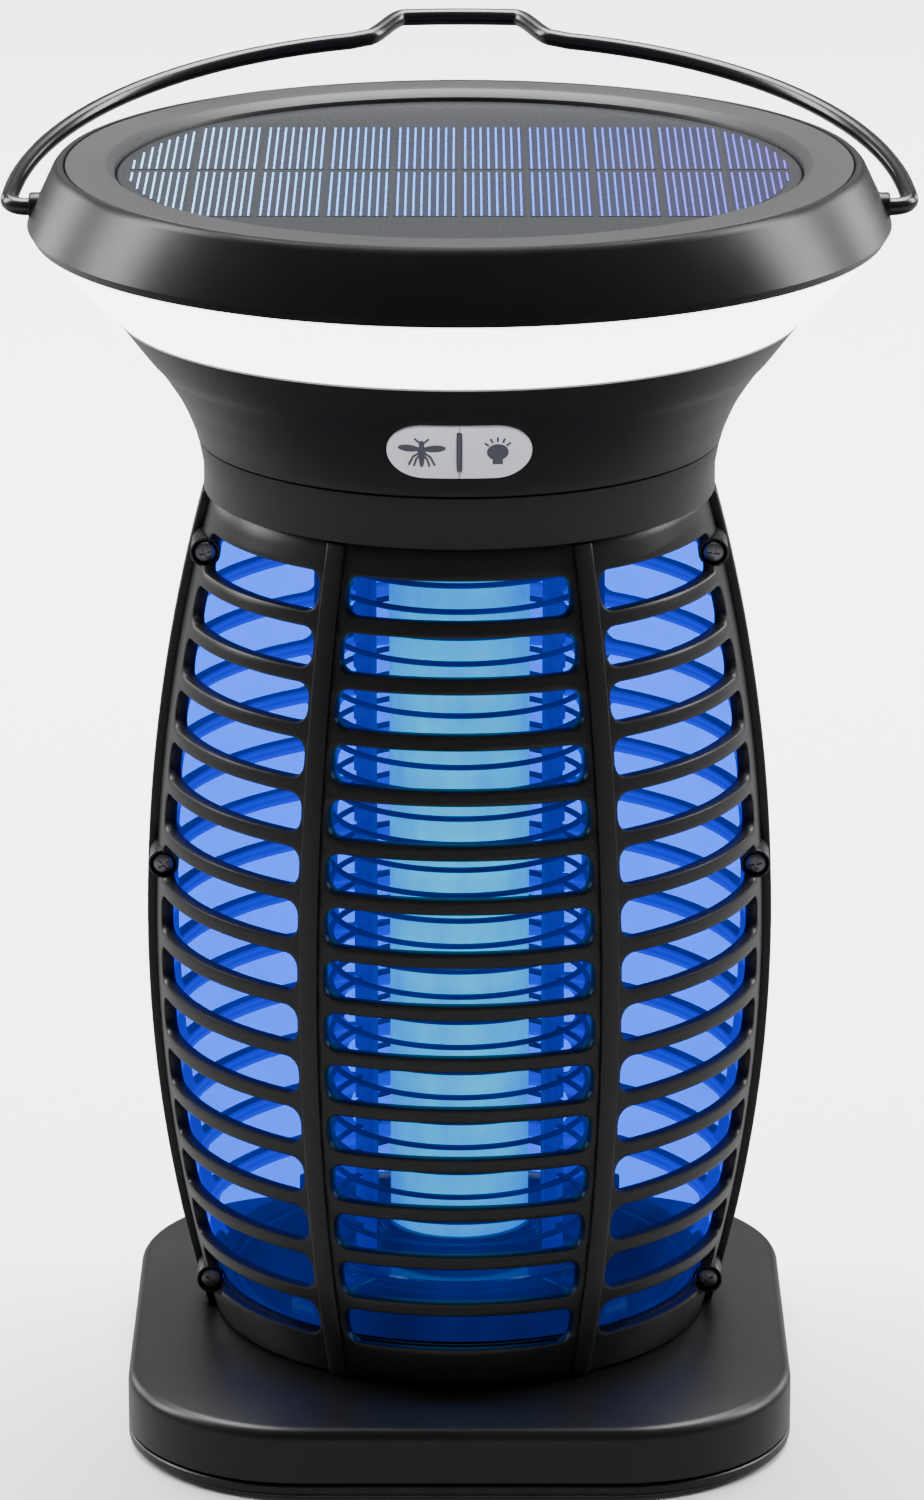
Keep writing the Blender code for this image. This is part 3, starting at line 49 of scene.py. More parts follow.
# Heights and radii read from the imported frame
CAGE_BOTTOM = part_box("cage_front")[0].z
CAGE_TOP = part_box("cage_front")[1].z
COLLAR_BOTTOM, COLLAR_TOP = (corner.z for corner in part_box("collar"))
NECK_BOTTOM, NECK_TOP = (corner.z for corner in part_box("neck_housing"))
CAP_RADIUS = -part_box("top_cap")[0].y
CAP_LIP, CAP_TOP = (corner.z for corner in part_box("top_cap"))
DIFFUSER_BOTTOM, DIFFUSER_TOP = (corner.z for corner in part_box("diffuser_ring"))
PANEL_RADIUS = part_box("solar_panel")[1].x
PANEL_BOTTOM, PANEL_TOP = (corner.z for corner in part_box("solar_panel"))
PLATE_BOTTOM, PLATE_TOP = (corner.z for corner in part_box("bottom_plate"))
BASE_BOTTOM, SPIGOT_TOP = (corner.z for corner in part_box("base_shell"))
BASE_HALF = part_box("base_shell")[1].x
HOLDER_BOTTOM, HOLDER_TOP = (corner.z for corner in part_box("lower_grid_holder"))
CEILING_BOTTOM, CEILING_TOP = (corner.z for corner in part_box("upper_grid_holder"))
CEILING_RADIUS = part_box("upper_grid_holder")[1].x
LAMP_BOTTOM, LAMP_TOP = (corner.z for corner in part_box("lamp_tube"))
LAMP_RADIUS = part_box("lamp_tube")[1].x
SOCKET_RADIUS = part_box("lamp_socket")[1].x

# Cage
CAGE_WALL = 2.6 * MM
BELLY_RADIUS = 62.9 * MM
BELLY_HEIGHT = CAGE_BOTTOM + 81.1 * MM
BULGE_ABOVE = 12.05 * MM
BULGE_BELOW = 11.17 * MM
FLANGE_PROUD = 1.8 * MM
FLANGE_WIDTH = 4.0 * MM
RIB_PROUD = 1.0 * MM
RIB_WIDTH = 3.9 * MM
RIB_ANGLE = 28.5 * DEG
BAR_ROOT = 0.8 * MM
SLOT_COUNT = 15
SLOT_PITCH = 10.68 * MM
SLOT_HEIGHT = 7.7 * MM
SLOT_TOP = CAGE_TOP - 6.0 * MM
SLOT_CORNER = 2.8 * MM
SLOT_TO_RIB = 3.0 * MM
POST_DEPTH = 13.3 * MM
SLAT_EDGE = 0.40 * MM
FLAT_RADIUS = 60.0 * MM            # the radius at which the cage is laid out flat
PARTING = 0.15 * MM
BOSS_RADIUS = 3.0 * MM
BOSS_FRONT = 13.0 * MM
BOSS_BACK = 8.0 * MM
SCREW_HEAD = 2.1 * MM
SEAT_RADIUS = 2.45 * MM
SEAT_DEPTH = 1.5 * MM
BOSS_INSET = 3.5 * MM
CAGE_SCREWS = [
    (side, z)
    for side in (-1, 1)
    for z in (CAGE_TOP - 10.4 * MM, CAGE_BOTTOM + 96.7 * MM, CAGE_BOTTOM + 8.1 * MM)
]
FOOT_LAND = 46.8 * MM
FOOT_GROOVE = 48.9 * MM
GROOVE_BOTTOM = CAGE_BOTTOM + 2.5 * MM
GROOVE_TOP = GROOVE_BOTTOM + 3.0 * MM
SKIRT_TOP = SPIGOT_TOP + 0.6 * MM

# Base
BASE_CORNER = 35.0 * MM
BASE_EDGE = 2.6 * MM
BASE_WALL = 2.2 * MM
BASE_SIDE_TOP = 15.2 * MM
BASE_DOME_TOP = CAGE_BOTTOM - 0.3 * MM
DOME_RADIUS = 53.9 * MM
SPIGOT_RADIUS = 46.4 * MM
SPIGOT_WALL = 1.9 * MM
LUG_ANGLES = (70.0, 190.0, 310.0)
LUG_WIDTH = 9.0 * MM
FOOT_REACH = 66.0 * MM
BASE_SCREW_REACH = 57.0 * MM

# Grid
GRID_RADIUS = 26.0 * MM
GRID_WIRE = 0.75 * MM
WIRE_ROUND = 0.6 * MM
GRID_PITCH = 5.3 * MM
GRID_BOTTOM = HOLDER_TOP + 6.5 * MM
GRID_COUNT = int((CEILING_BOTTOM - 4.0 * MM - GRID_BOTTOM) / GRID_PITCH) + 1
COMB_ANGLES = (37.0, 143.0, 217.0, 323.0)
HOLDER_RADIUS = GRID_RADIUS + 5.0 * MM
HOLDER_ARMS = (50.0, 130.0, 230.0, 310.0)

# Neck
NECK_WALL = 2.2 * MM
COLLAR_WAIST = 50.6 * MM
COLLAR_RIM = 51.6 * MM
NECK_FLARE = (
    (0.2, 0.0), (0.8, 2.1), (2.5, 6.2), (4.2, 9.4), (7.5, 14.3), (10.3, 17.5), (15.8, 24.7),
)
KEY_HEIGHT = NECK_BOTTOM + 10.4 * MM
KEY_LENGTH = 27.9 * MM
KEY_WIDTH = 14.4 * MM
KEY_PROUD = 0.5 * MM
KEY_DEPTH = 3.0 * MM
MARK_STRETCH = 1.35                # printed marks are drawn taller, since the face slopes
COVER_LENGTH = 17.0 * MM
COVER_WIDTH = 9.0 * MM

# Cap and bail
CAP_BOTTOM = CAP_LIP + 1.6 * MM
CAP_RIM = CAP_RADIUS - 5.7 * MM
CAP_SEAM = CAP_RIM - 1.7 * MM
DIFFUSER_WALL = 2.9 * MM
DIFFUSER_RADIUS = CAP_RADIUS - 1.3 * MM
FRAME_BEVEL = PANEL_RADIUS + 2.2 * MM
BAIL_WIRE = 1.75 * MM
BAIL_PIVOT = CAP_BOTTOM + 2.7 * MM
BAIL_RADIUS = CAP_RADIUS + 3.7 * MM
BAIL_BEND = 3.8 * MM
BAIL_HUMP = BAIL_RADIUS + 10.1 * MM
BAIL_LEAN = 11.0 * DEG
BOSS_REACH = CAP_RADIUS - 0.4 * MM


# ---------------------------------------------------------------- finishes

class Signal:
    """A number that varies over a surface; sums on it become nodes."""

    def __init__(self, finish, socket):
        self.finish = finish
        self.socket = socket

    def join(self, operation, first, second):
        return self.finish.add("ShaderNodeMath", {"operation": operation}, {0: first, 1: second})

    def __add__(self, other):
        return self.join("ADD", self, other)

    def __sub__(self, other):
        return self.join("SUBTRACT", self, other)

    def __rsub__(self, other):
        return self.join("SUBTRACT", other, self)

    def __mul__(self, other):
        return self.join("MULTIPLY", self, other)

    def __truediv__(self, other):
        return self.join("DIVIDE", self, other)

    def __pow__(self, other):
        return self.join("POWER", self, other)

    def __gt__(self, other):
        return self.join("GREATER_THAN", self, other)

    def __lt__(self, other):
        return self.join("LESS_THAN", self, other)

    def apart(self):
        return self.finish.add("ShaderNodeMath", {"operation": "ABSOLUTE"}, {0: self})

    def part(self, step):
        """How far along its own step the value is, from 0 to 1."""
        share = self / step
        return self.finish.add("ShaderNodeMath", {"operation": "FRACT"}, {0: share})

    def held(self):
        return self.finish.add("ShaderNodeClamp", {}, {0: self})

    __radd__ = __add__
    __rmul__ = __mul__


class Finish:
    """A surface finish: a Principled shader and the nodes that feed it."""

    def __init__(self, name, colour, roughness, **constants):
        self.material = bpy.data.materials.new(name)
        self.material.use_nodes = True
        self.tree = self.material.node_tree
        self.shader = self.tree.nodes["Principled BSDF"]
        self.shader.inputs["Base Color"].default_value = (*colour, 1.0)
        self.shader.inputs["Roughness"].default_value = roughness
        for key, value in constants.items():
            socket = key.replace("_", " ").title().replace("Ior", "IOR")
            self.shader.inputs[socket].default_value = value
        self.material.diffuse_color = (*colour, 1.0)

    def add(self, kind, settings, inputs, output=0):
        """One node of any type: its settings first, then values or links for its sockets."""
        node = self.tree.nodes.new(kind)
        for key, value in settings.items():
            if key == "stops":
                ramp = node.color_ramp
                while len(ramp.elements) < len(value):
                    ramp.elements.new(1.0)
                for stop, (place, colour) in zip(ramp.elements, value):
                    stop.position = place
                    stop.color = (*colour, 1.0)
            else:
                setattr(node, key, value)
        for key, value in inputs.items():
            socket = node.inputs[key]
            if isinstance(value, Signal):
                self.tree.links.new(value.socket, socket)
            else:
                socket.default_value = value
        return Signal(self, node.outputs[output])

    def feed(self, name, signal):
        self.tree.links.new(signal.socket, self.shader.inputs[name])

    def place(self, scale=(1.0, 1.0, 1.0), turn=(0.0, 0.0, 0.0)):
        """The surface's own coordinates, in metres, stretched or turned."""
        where = self.add("ShaderNodeTexCoord", {}, {}, "Object")
        if scale == (1.0, 1.0, 1.0) and turn == (0.0, 0.0, 0.0):
            return where
        settings = {"Vector": where, "Scale": scale, "Rotation": turn}
        return self.add("ShaderNodeMapping", {}, settings)

    def along(self, axis):
        return self.add("ShaderNodeSeparateXYZ", {}, {0: self.place()}, axis)

    def noise(self, size, detail=3.0, where=None, roughness=0.55):
        """Soft grain whose blotches are about one size across, in metres."""
        settings = {
            "Vector": where or self.place(), "Scale": 1.0 / size, "Detail": detail,
            "Roughness": roughness,
        }
        return self.add("ShaderNodeTexNoise", {}, settings, 0)

    def blend(self, share, first, second):
        """A colour between two colours."""
        first, second = (
            colour if isinstance(colour, Signal) else (*colour, 1.0) for colour in (first, second)
        )
        sockets = {0: share, 6: first, 7: second}
        return self.add("ShaderNodeMix", {"data_type": "RGBA"}, sockets, 2)

    def bump(self, height, depth, strength=1.0, base=None):
        settings = {"Height": height, "Distance": depth, "Strength": strength}
        if base is not None:
            settings["Normal"] = base
        return self.add("ShaderNodeBump", {}, settings)


def moulded_plastic(name, colour, roughness, grain=0.35 * MM, depth=0.012 * MM, sheen_level=0.3):
    """Moulded ABS: a fine spark-eroded grain, flow marks and a little handling wear."""
    finish = Finish(name, colour, roughness, specular_ior_level=sheen_level)
    flow = finish.noise(38.0 * MM, 2.0)
    dust = finish.noise(1.6 * MM, 4.0)
    lighter = tuple(min(1.0, part * 1.35 + 0.0012) for part in colour)
    finish.feed("Base Color", finish.blend(flow * 0.6 + dust * 0.3, colour, lighter))
    finish.feed("Roughness", (flow - 0.5) * 0.10 + (dust - 0.5) * 0.08 + roughness)
    fine = finish.noise(grain, 2.0)
    finish.feed("Normal", finish.bump(fine, depth, 0.6))
    return finish.material


def glossy_plastic(name, colour, roughness, sheen_level=0.35):
    """Half-gloss moulding: faint orange peel and cloudy wipe marks."""
    finish = Finish(name, colour, roughness, specular_ior_level=sheen_level)
    peel = finish.noise(1.4 * MM, 1.0)
    wipe = finish.noise(24.0 * MM, 3.0)
    lighter = tuple(part * 1.3 + 0.001 for part in colour)
    finish.feed("Base Color", finish.blend(wipe, colour, lighter))
    finish.feed("Roughness", (wipe - 0.5) * 0.12 + roughness)
    finish.feed("Normal", finish.bump(peel, 0.003 * MM, 0.4))
    return finish.material


def worn_metal(name, colour, roughness, grain=0.5 * MM):
    """Plated steel: drawn grain, tarnish in patches."""
    finish = Finish(name, colour, roughness, metallic=1.0)
    drawn = finish.noise(grain, 3.0, finish.place((1.0, 1.0, 6.0)))
    tarnish = finish.noise(3.5 * MM, 4.0)
    darker = tuple(part * 0.55 for part in colour)
    finish.feed("Base Color", finish.blend((tarnish * 2.2 - 0.9).held(), colour, darker))
    finish.feed("Roughness", tarnish * 0.25 + (roughness - 0.1))
    finish.feed("Normal", finish.bump(drawn, 0.01 * MM, 0.5))
    return finish.material


def lamp_glow(name):
    """Lit tube: bright cyan over the lamp's board, bluer at its sides and ends."""
    finish = Finish(name, (0.0, 0.10, 0.16), 0.3, emission_strength=1.3)
    height = finish.along("Z")
    middle = (LAMP_BOTTOM + LAMP_TOP) / 2.0
    end = ((height - middle).apart() / ((LAMP_TOP - LAMP_BOTTOM) / 2.0)) ** 4.0
    side = (finish.along("X") / LAMP_RADIUS).apart() ** 3.0
    cloud = finish.noise(11.0 * MM, 3.0)
    dots = ((height.part(7.5 * MM) - 0.5).apart() * 2.0) ** 2.0
    streak = finish.noise(5.0 * MM, 3.0, finish.place((1.0, 1.0, 0.18)))
    bright = (streak * 1.4 - 0.2 + dots * 0.2).held()
    core = finish.blend(bright, (0.0, 0.40, 0.90), (0.0, 0.92, 1.0))
    edge = (side * 0.6 + end * 0.6 + (cloud - 0.5) * 0.8).held()
    finish.feed("Emission Color", finish.blend(edge, core, (0.0, 0.22, 0.90)))
    return finish.material


def painted_glow_skin(name, tint, halo):
    """Painted glow of the lamp's blue light on a thin skin in the chamber: it tints what is seen
    through it, and a painted halo makes it brighter in the middle.
    """
    finish = Finish(name, (0.0, 0.02, 0.3), 0.5)
    clear = finish.add("ShaderNodeBsdfTransparent", {}, {"Color": (*tint, 1.0)})
    light = {"Color": (0.0, 0.06, 1.0, 1.0), "Strength": 1.3}
    glow = finish.add("ShaderNodeEmission", {}, light)
    middle = 1.0 - (finish.along("X") / GRID_RADIUS).apart().held()
    share = finish.noise(26.0 * MM, 2.0) * 0.2 + middle * halo
    mix = finish.add("ShaderNodeMixShader", {}, {0: share, 1: clear, 2: glow})
    output = finish.tree.nodes["Material Output"]
    finish.tree.nodes.remove(finish.shader)
    finish.tree.links.new(mix.socket, output.inputs["Surface"])
    return finish.material


def lit_inside(name):
    """The inner face of the cage with the lamp's light and shade painted on as a glow: each slat
    painted dark above and pale below.
    """
    finish = Finish(name, (0.004, 0.004, 0.02), 0.35, emission_strength=2.2)
    level = (finish.along("Z") - (SLOT_TOP - SLOT_PITCH * SLOT_COUNT)).part(SLOT_PITCH)
    # painted light and shade down each slat
    stops = [
        (0.0, (0.01, 0.12, 1.0)), (0.05, (0.0, 0.02, 1.0)), (0.13, (0.045, 0.040, 0.55)),
        (0.19, (0.0, 0.0, 0.9)), (0.27, (0.0, 0.0, 0.35)), (0.9, (0.0, 0.0, 0.3)),
        (0.97, (0.02, 0.16, 1.0)),
    ]
    ramp = finish.add("ShaderNodeValToRGB", {"stops": stops}, {0: level})
    cloud = finish.noise(15.0 * MM, 2.0)
    finish.feed("Emission Color", finish.blend((cloud * 0.5).held(), ramp, (0.0, 0.0, 0.6)))
    finish.feed("Roughness", cloud * 0.2 + 0.3)
    return finish.material


def blue_glow(name, strength):
    """Plastic inside the cage, with the lamp's blue light painted on as a glow."""
    finish = Finish(name, (0.01, 0.02, 0.10), 0.3, emission_strength=strength)
    cloud = finish.noise(14.0 * MM, 2.0)
    finish.feed("Emission Color", finish.blend(cloud, (0.0, 0.0, 0.5), (0.0, 0.05, 1.0)))
    return finish.material


def white_glow(name, strength):
    """Lit opal diffuser with the faint moulding blush of its many lamps."""
    finish = Finish(name, (0.93, 0.93, 0.95), 0.35, emission_strength=strength)
    height = finish.along("Z")
    rise = ((height - DIFFUSER_BOTTOM) / (DIFFUSER_TOP - DIFFUSER_BOTTOM)).held()
    cloud = finish.noise(16.0 * MM, 2.0)
    share = (rise * 0.5 + cloud * 0.4).held()
    finish.feed("Emission Color", finish.blend(share, (1.0, 1.0, 1.0), (0.86, 0.89, 0.96)))
    finish.feed("Roughness", cloud * 0.2 + 0.25)
    return finish.material


def printed_board(name, colour, copper):
    """Solder mask over tracks, with a faint woven glass bump."""
    finish = Finish(name, colour, 0.35)
    across, along = finish.along("X"), finish.along("Y")
    weave = (across.part(0.9 * MM) - 0.5).apart() + (along.part(0.9 * MM) - 0.5).apart()
    settings = {"Vector": finish.place(), "Scale": 190.0}
    cells = finish.add("ShaderNodeTexVoronoi", {"distance": "MANHATTAN"}, settings)
    tracks = cells > 0.62
    finish.feed("Base Color", finish.blend(tracks, colour, copper))
    finish.feed("Roughness", finish.noise(6.0 * MM) * 0.3 + 0.2)
    finish.feed("Normal", finish.bump(weave + tracks * 2.0, 0.02 * MM, 0.5))
    return finish.material


def wrapped(name, colour, stripe, axis, step):
    """A shrunk sleeve or wound tape: overlapping turns and soft wrinkles."""
    finish = Finish(name, colour, 0.35)
    turn = (finish.along(axis).part(step) - 0.5).apart()
    wrinkle = finish.noise(2.6 * MM, 4.0)
    finish.feed("Base Color", finish.blend((turn * 1.4 + wrinkle * 0.3).held(), colour, stripe))
    finish.feed("Roughness", wrinkle * 0.3 + 0.2)
    finish.feed("Normal", finish.bump(turn + wrinkle, 0.05 * MM, 0.5))
    return finish.material


def soft_rubber(name):
    finish = Finish(name, (0.022, 0.022, 0.023), 0.72, specular_ior_level=0.25)
    grain = finish.noise(0.5 * MM, 3.0)
    bloom = finish.noise(7.0 * MM, 4.0)
    finish.feed("Base Color", finish.blend(bloom, (0.016, 0.016, 0.017), (0.034, 0.034, 0.036)))
    finish.feed("Roughness", bloom * 0.25 + 0.58)
    finish.feed("Normal", finish.bump(grain, 0.03 * MM, 0.7))
    return finish.material


def panel_ground(name):
    """Dark backing under the panel's clear resin, with a woven look."""
    finish = Finish(name, (0.03, 0.032, 0.038), 0.28, specular_ior_level=0.05)
    across, along = finish.along("X"), finish.along("Y")
    weave = (across.part(1.1 * MM) - 0.5).apart() * (along.part(1.1 * MM) - 0.5).apart()
    cloud = finish.noise(20.0 * MM, 3.0)
    share = (weave * 2.0 + cloud * 0.4).held()
    finish.feed("Base Color", finish.blend(share, (0.017, 0.018, 0.020), (0.030, 0.031, 0.034)))
    finish.feed("Roughness", cloud * 0.15 + 0.2)
    finish.feed("Normal", finish.bump(weave, 0.01 * MM, 0.4))
    return finish.material


def cell_silicon(name):
    """Blue-black silicon under resin: fine crystal patches, tinted across the panel."""
    finish = Finish(name, (0.02, 0.03, 0.07), 0.22, specular_ior_level=0.05)
    across = finish.along("X")
    share = (across / (2.0 * PANEL_RADIUS) + 0.5).held()
    crystal = finish.add("ShaderNodeTexVoronoi", {}, {"Vector": finish.place(), "Scale": 420.0}, 1)
    grey = finish.add("ShaderNodeRGBToBW", {}, {0: crystal})
    tint = finish.blend(share, (0.017, 0.020, 0.026), (0.015, 0.015, 0.040))
    finish.feed("Base Color", finish.blend(grey * 0.35, tint, (0.026, 0.030, 0.050)))
    finish.feed("Roughness", grey * 0.10 + 0.22)
    return finish.material


def cell_finger(name):
    """Printed silver fingers with a painted blue reflection, violet on one side, and a faint
    painted glow.
    """
    finish = Finish(
        name, (0.3, 0.5, 0.8), 0.35, specular_ior_level=0.1, emission_strength=0.25,
    )
    share = (finish.along("X") / (2.0 * PANEL_RADIUS) + 0.5).held()
    stops = [
        (0.0, (0.36, 0.70, 0.90)), (0.35, (0.10, 0.36, 0.90)),
        (0.65, (0.05, 0.12, 0.70)), (1.0, (0.10, 0.05, 0.50)),
    ]
    ramp = finish.add("ShaderNodeValToRGB", {"stops": stops}, {0: share})
    patch = finish.noise(5.0 * MM, 3.0)
    finish.feed("Base Color", finish.blend(patch * 0.35, ramp, (0.05, 0.07, 0.16)))
    # the painted reflection colour is also emitted as a faint painted glow
    finish.feed("Emission Color", ramp)
    finish.feed("Roughness", patch * 0.2 + 0.25)
    return finish.material


def key_plastic(name, colour):
    """Matt light grey keys, a little polished where they are pressed."""
    finish = Finish(name, colour, 0.5, specular_ior_level=0.35)
    rub = finish.noise(5.0 * MM, 2.0)
    grain = finish.noise(0.3 * MM, 2.0)
    darker = tuple(part * 0.9 for part in colour)
    finish.feed("Base Color", finish.blend(rub * 0.6, colour, darker))
    finish.feed("Roughness", rub * 0.2 + 0.38)
    finish.feed("Normal", finish.bump(grain, 0.008 * MM, 0.5))
    return finish.material


BLACK_SHELL = moulded_plastic("satin black moulding", (0.0045, 0.0045, 0.0048), 0.36)
BLACK_CAP = glossy_plastic("glossy black cap", (0.0030, 0.0030, 0.0032), 0.30, 0.24)
BLACK_INNER = glossy_plastic("polished black holder", (0.003, 0.003, 0.006), 0.12, 0.6)
CAP_TRIM = moulded_plastic("satin cap trim", (0.020, 0.020, 0.021), 0.42)
SCREW_STEEL = worn_metal("blackened screw steel", (0.20, 0.20, 0.21), 0.34)
GRID_STEEL = worn_metal("plated grid wire", (0.05, 0.06, 0.10), 0.30)
PORT_METAL = worn_metal("plated socket shell", (0.55, 0.55, 0.57), 0.28)
CYAN_LAMP = lamp_glow("lit lamp tube")
WHITE_RING = white_glow("lit white diffuser", 5.0)
LAMP_BOARD = printed_board("white lamp board", (0.75, 0.78, 0.80), (0.55, 0.48, 0.20))
GREEN_BOARD = printed_board("green circuit board", (0.012, 0.10, 0.035), (0.03, 0.20, 0.07))
CHIP_BLACK = moulded_plastic("chip epoxy", (0.012, 0.012, 0.013), 0.6)
CELL_WRAP = wrapped("blue battery sleeve", (0.02, 0.10, 0.42), (0.01, 0.05, 0.25), "X", 9.0 * MM)
COIL_TAPE = wrapped(
    "yellow transformer tape", (0.72, 0.50, 0.05), (0.50, 0.30, 0.02), "Z", 1.6 * MM,
)
FILM_RED = wrapped("red capacitor film", (0.42, 0.06, 0.03), (0.28, 0.03, 0.02), "X", 2.4 * MM)
RUBBER = soft_rubber("soft black rubber")
PANEL_GROUND = panel_ground("panel backing")
CELL_BLUE = cell_silicon("solar cell silicon")
CELL_LINES = cell_finger("solar cell fingers")
KEY_GREY = key_plastic("light grey keys", (0.46, 0.46, 0.50))
KEY_INK = key_plastic("dark key print", (0.045, 0.045, 0.060))
REFLECTOR_WHITE = key_plastic("white reflector", (0.80, 0.80, 0.80))
# the combs' lamp light is painted on as a blue glow
COMB_PAINTED_GLOW = blue_glow("lit comb plastic", 0.30)
# the lamp's light and shade painted on the cage's inner faces as a glow
LIT_SHELL = lit_inside("cage inside in lamp light")
# see-through skins with the lamp's blue glow painted on; the back one has a painted halo
FRONT_GLOW_SKIN = painted_glow_skin("front painted lamp glow", (0.50, 0.72, 0.96), 0.0)
BACK_GLOW_SKIN = painted_glow_skin("back painted lamp glow", (0.010, 0.085, 0.60), 0.9)
WIRE_COAT = glossy_plastic("coated bail wire", (0.004, 0.004, 0.0043), 0.22, 0.5)


# ---------------------------------------------------------------- shaping helpers

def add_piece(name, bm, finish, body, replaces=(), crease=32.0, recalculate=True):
    """Make a finished mesh an object that rides on a body."""
    if recalculate:
        bmesh.ops.recalc_face_normals(bm, faces=bm.faces)
    mesh = bpy.data.meshes.new(name)
    bm.to_mesh(mesh)
    bm.free()
    mesh.materials.append(finish)
    mesh.shade_smooth()
    mesh.set_sharp_from_angle(angle=crease * DEG)
    item = bpy.data.objects.new(name, mesh)
    bpy.context.scene.collection.objects.link(item)
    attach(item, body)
    if replaces:
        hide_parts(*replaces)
    return item


def soften(bm, width, segments=2, angle=32.0):
    """Round every edge sharper than an angle."""
    edges = [
        edge for edge in bm.edges
        if len(edge.link_faces) == 2 and edge.calc_face_angle(0.0) > angle * DEG
    ]
    bmesh.ops.bevel(
        bm, geom=edges, offset=width, offset_type="OFFSET", segments=segments, profile=0.5,
        affect="EDGES", material=-1, clamp_overlap=True,
    )


def shift(bm, step):
    """Move a whole mesh."""
    bmesh.ops.translate(bm, verts=bm.verts, vec=step)


def shape_of(curve):
    """The mesh that a curve makes."""
    item = bpy.data.objects.new("curve", curve)
    mesh = bpy.data.meshes.new_from_object(item)
    bpy.data.objects.remove(item)
    bm = bmesh.new()
    bm.from_mesh(mesh)
    bpy.data.meshes.remove(mesh)
    return bm


def turn(bm, profile, steps=STEPS, angle=math.tau, start=0.0, closed=True):
    """Spin an outline of (radius, height) about Z; a part turn gets its ends closed."""
    points = [
        bm.verts.new((r * math.cos(start), r * math.sin(start), z)) for r, z in profile
    ]
    links = [bm.edges.new(pair) for pair in zip(points, points[1:])]
    if closed:
        links.append(bm.edges.new((points[-1], points[0])))
    whole = angle > math.tau - 1e-6
    made = bmesh.ops.spin(
        bm, geom=points + links, cent=(0, 0, 0), axis=(0, 0, 1), dvec=(0, 0, 0),
        angle=angle, steps=steps, use_merge=whole, use_normal_flip=False, use_duplicate=False,
    )
    if whole:
        bmesh.ops.remove_doubles(bm, verts=bm.verts, dist=1e-7)
    elif closed:
        last = [item for item in made["geom_last"] if isinstance(item, bmesh.types.BMEdge)]
        bmesh.ops.edgeloop_fill(bm, edges=links)
        bmesh.ops.edgeloop_fill(bm, edges=last)


def block(bm, size, radius, matrix, segments=2):
    """A box with rounded edges."""
    made = bmesh.ops.create_cube(bm, size=1.0)
    corners = made["verts"]
    bmesh.ops.scale(bm, verts=corners, vec=Vector(size))
    if radius > 0.0:
        edges = list(dict.fromkeys(edge for corner in corners for edge in corner.link_edges))
        made = bmesh.ops.bevel(
            bm, geom=edges, offset=radius, offset_type="OFFSET", segments=segments,
            profile=0.5, affect="EDGES", material=-1,
        )
        corners = list(dict.fromkeys(vert for face in made["faces"] for vert in face.verts))
    bmesh.ops.transform(bm, matrix=matrix, verts=corners)
    return corners


def rod(bm, radius, start, end, segments=24):
    """A closed rod between two points."""
    start, end = Vector(start), Vector(end)
    facing = (end - start).to_track_quat("Z", "Y").to_matrix().to_4x4()
    place = Matrix.Translation((start + end) / 2.0) @ facing
    bmesh.ops.create_cone(
        bm, cap_ends=True, segments=segments, radius1=radius, radius2=radius,
        depth=(end - start).length, matrix=place,
    )


def polar(radius, degrees, height=0.0):
    angle = degrees * DEG
    return Vector((radius * math.cos(angle), radius * math.sin(angle), height))


def eased(points, count):
    """Points on a smooth curve through the given points."""
    points = [Vector(point) for point in points]
    path = []
    spans = len(points) - 1
    for index in range(count + 1):
        share = min(index * spans / count, spans - 1e-9)
        first = int(share)
        t = share - first
        p = [points[max(0, min(spans, first + k))] for k in (-1, 0, 1, 2)]
        path.append(
            0.5 * (2 * p[1] + (p[2] - p[0]) * t
                   + (2 * p[0] - 5 * p[1] + 4 * p[2] - p[3]) * t * t
                   + (3 * p[1] - 3 * p[2] + p[3] - p[0]) * t ** 3)
        )
    return path


def plate(outlines, thickness, edge, steps=1):
    """A flat plate with holes and rounded rims, laid on X and Y, rising from Z = 0."""
    # Outlines are filled a thousand times larger, where the fill keeps its precision.
    big = 1000.0
    curve = bpy.data.curves.new("outline", "CURVE")
    curve.dimensions = "2D"
    curve.fill_mode = "BOTH"
    curve.extrude = (thickness / 2.0 - edge) * big
    curve.bevel_depth = edge * big
    curve.bevel_resolution = steps
    curve.offset = -edge * big
    for points in outlines:
        spline = curve.splines.new("POLY")
        spline.points.add(len(points) - 1)
        spline.use_cyclic_u = True
        for point, (x, y) in zip(spline.points, points):
            point.co = (x * big, y * big, 0.0, 1.0)
    bm = shape_of(curve)
    bmesh.ops.scale(bm, verts=bm.verts, vec=(1.0 / big,) * 3)
    shift(bm, (0.0, 0.0, thickness / 2.0))
    bmesh.ops.remove_doubles(bm, verts=bm.verts, dist=1e-7)
    bmesh.ops.recalc_face_normals(bm, faces=bm.faces)
    return bm


def slice_at(bm, axis, places):
    """Cut the mesh through at each place along an axis, so that it can bend there."""
    normal = Vector((0.0, 0.0, 0.0))
    normal[axis] = 1.0
    for place in places:
        bmesh.ops.bisect_plane(
            bm, geom=bm.verts[:] + bm.edges[:] + bm.faces[:], dist=1e-7,
            plane_co=normal * place, plane_no=normal,
        )


def rounded_outline(left, right, bottom, top, radius, steps=4):
    """A rectangle with round corners, anticlockwise."""
    points = []
    corners = (
        (right - radius, top - radius, 0.0), (left + radius, top - radius, 90.0),
        (left + radius, bottom + radius, 180.0), (right - radius, bottom + radius, 270.0),
    )
    for x, y, first in corners:
        for step in range(steps + 1):
            angle = (first + 90.0 * step / steps) * DEG
            points.append((x + radius * math.cos(angle), y + radius * math.sin(angle)))
    return points


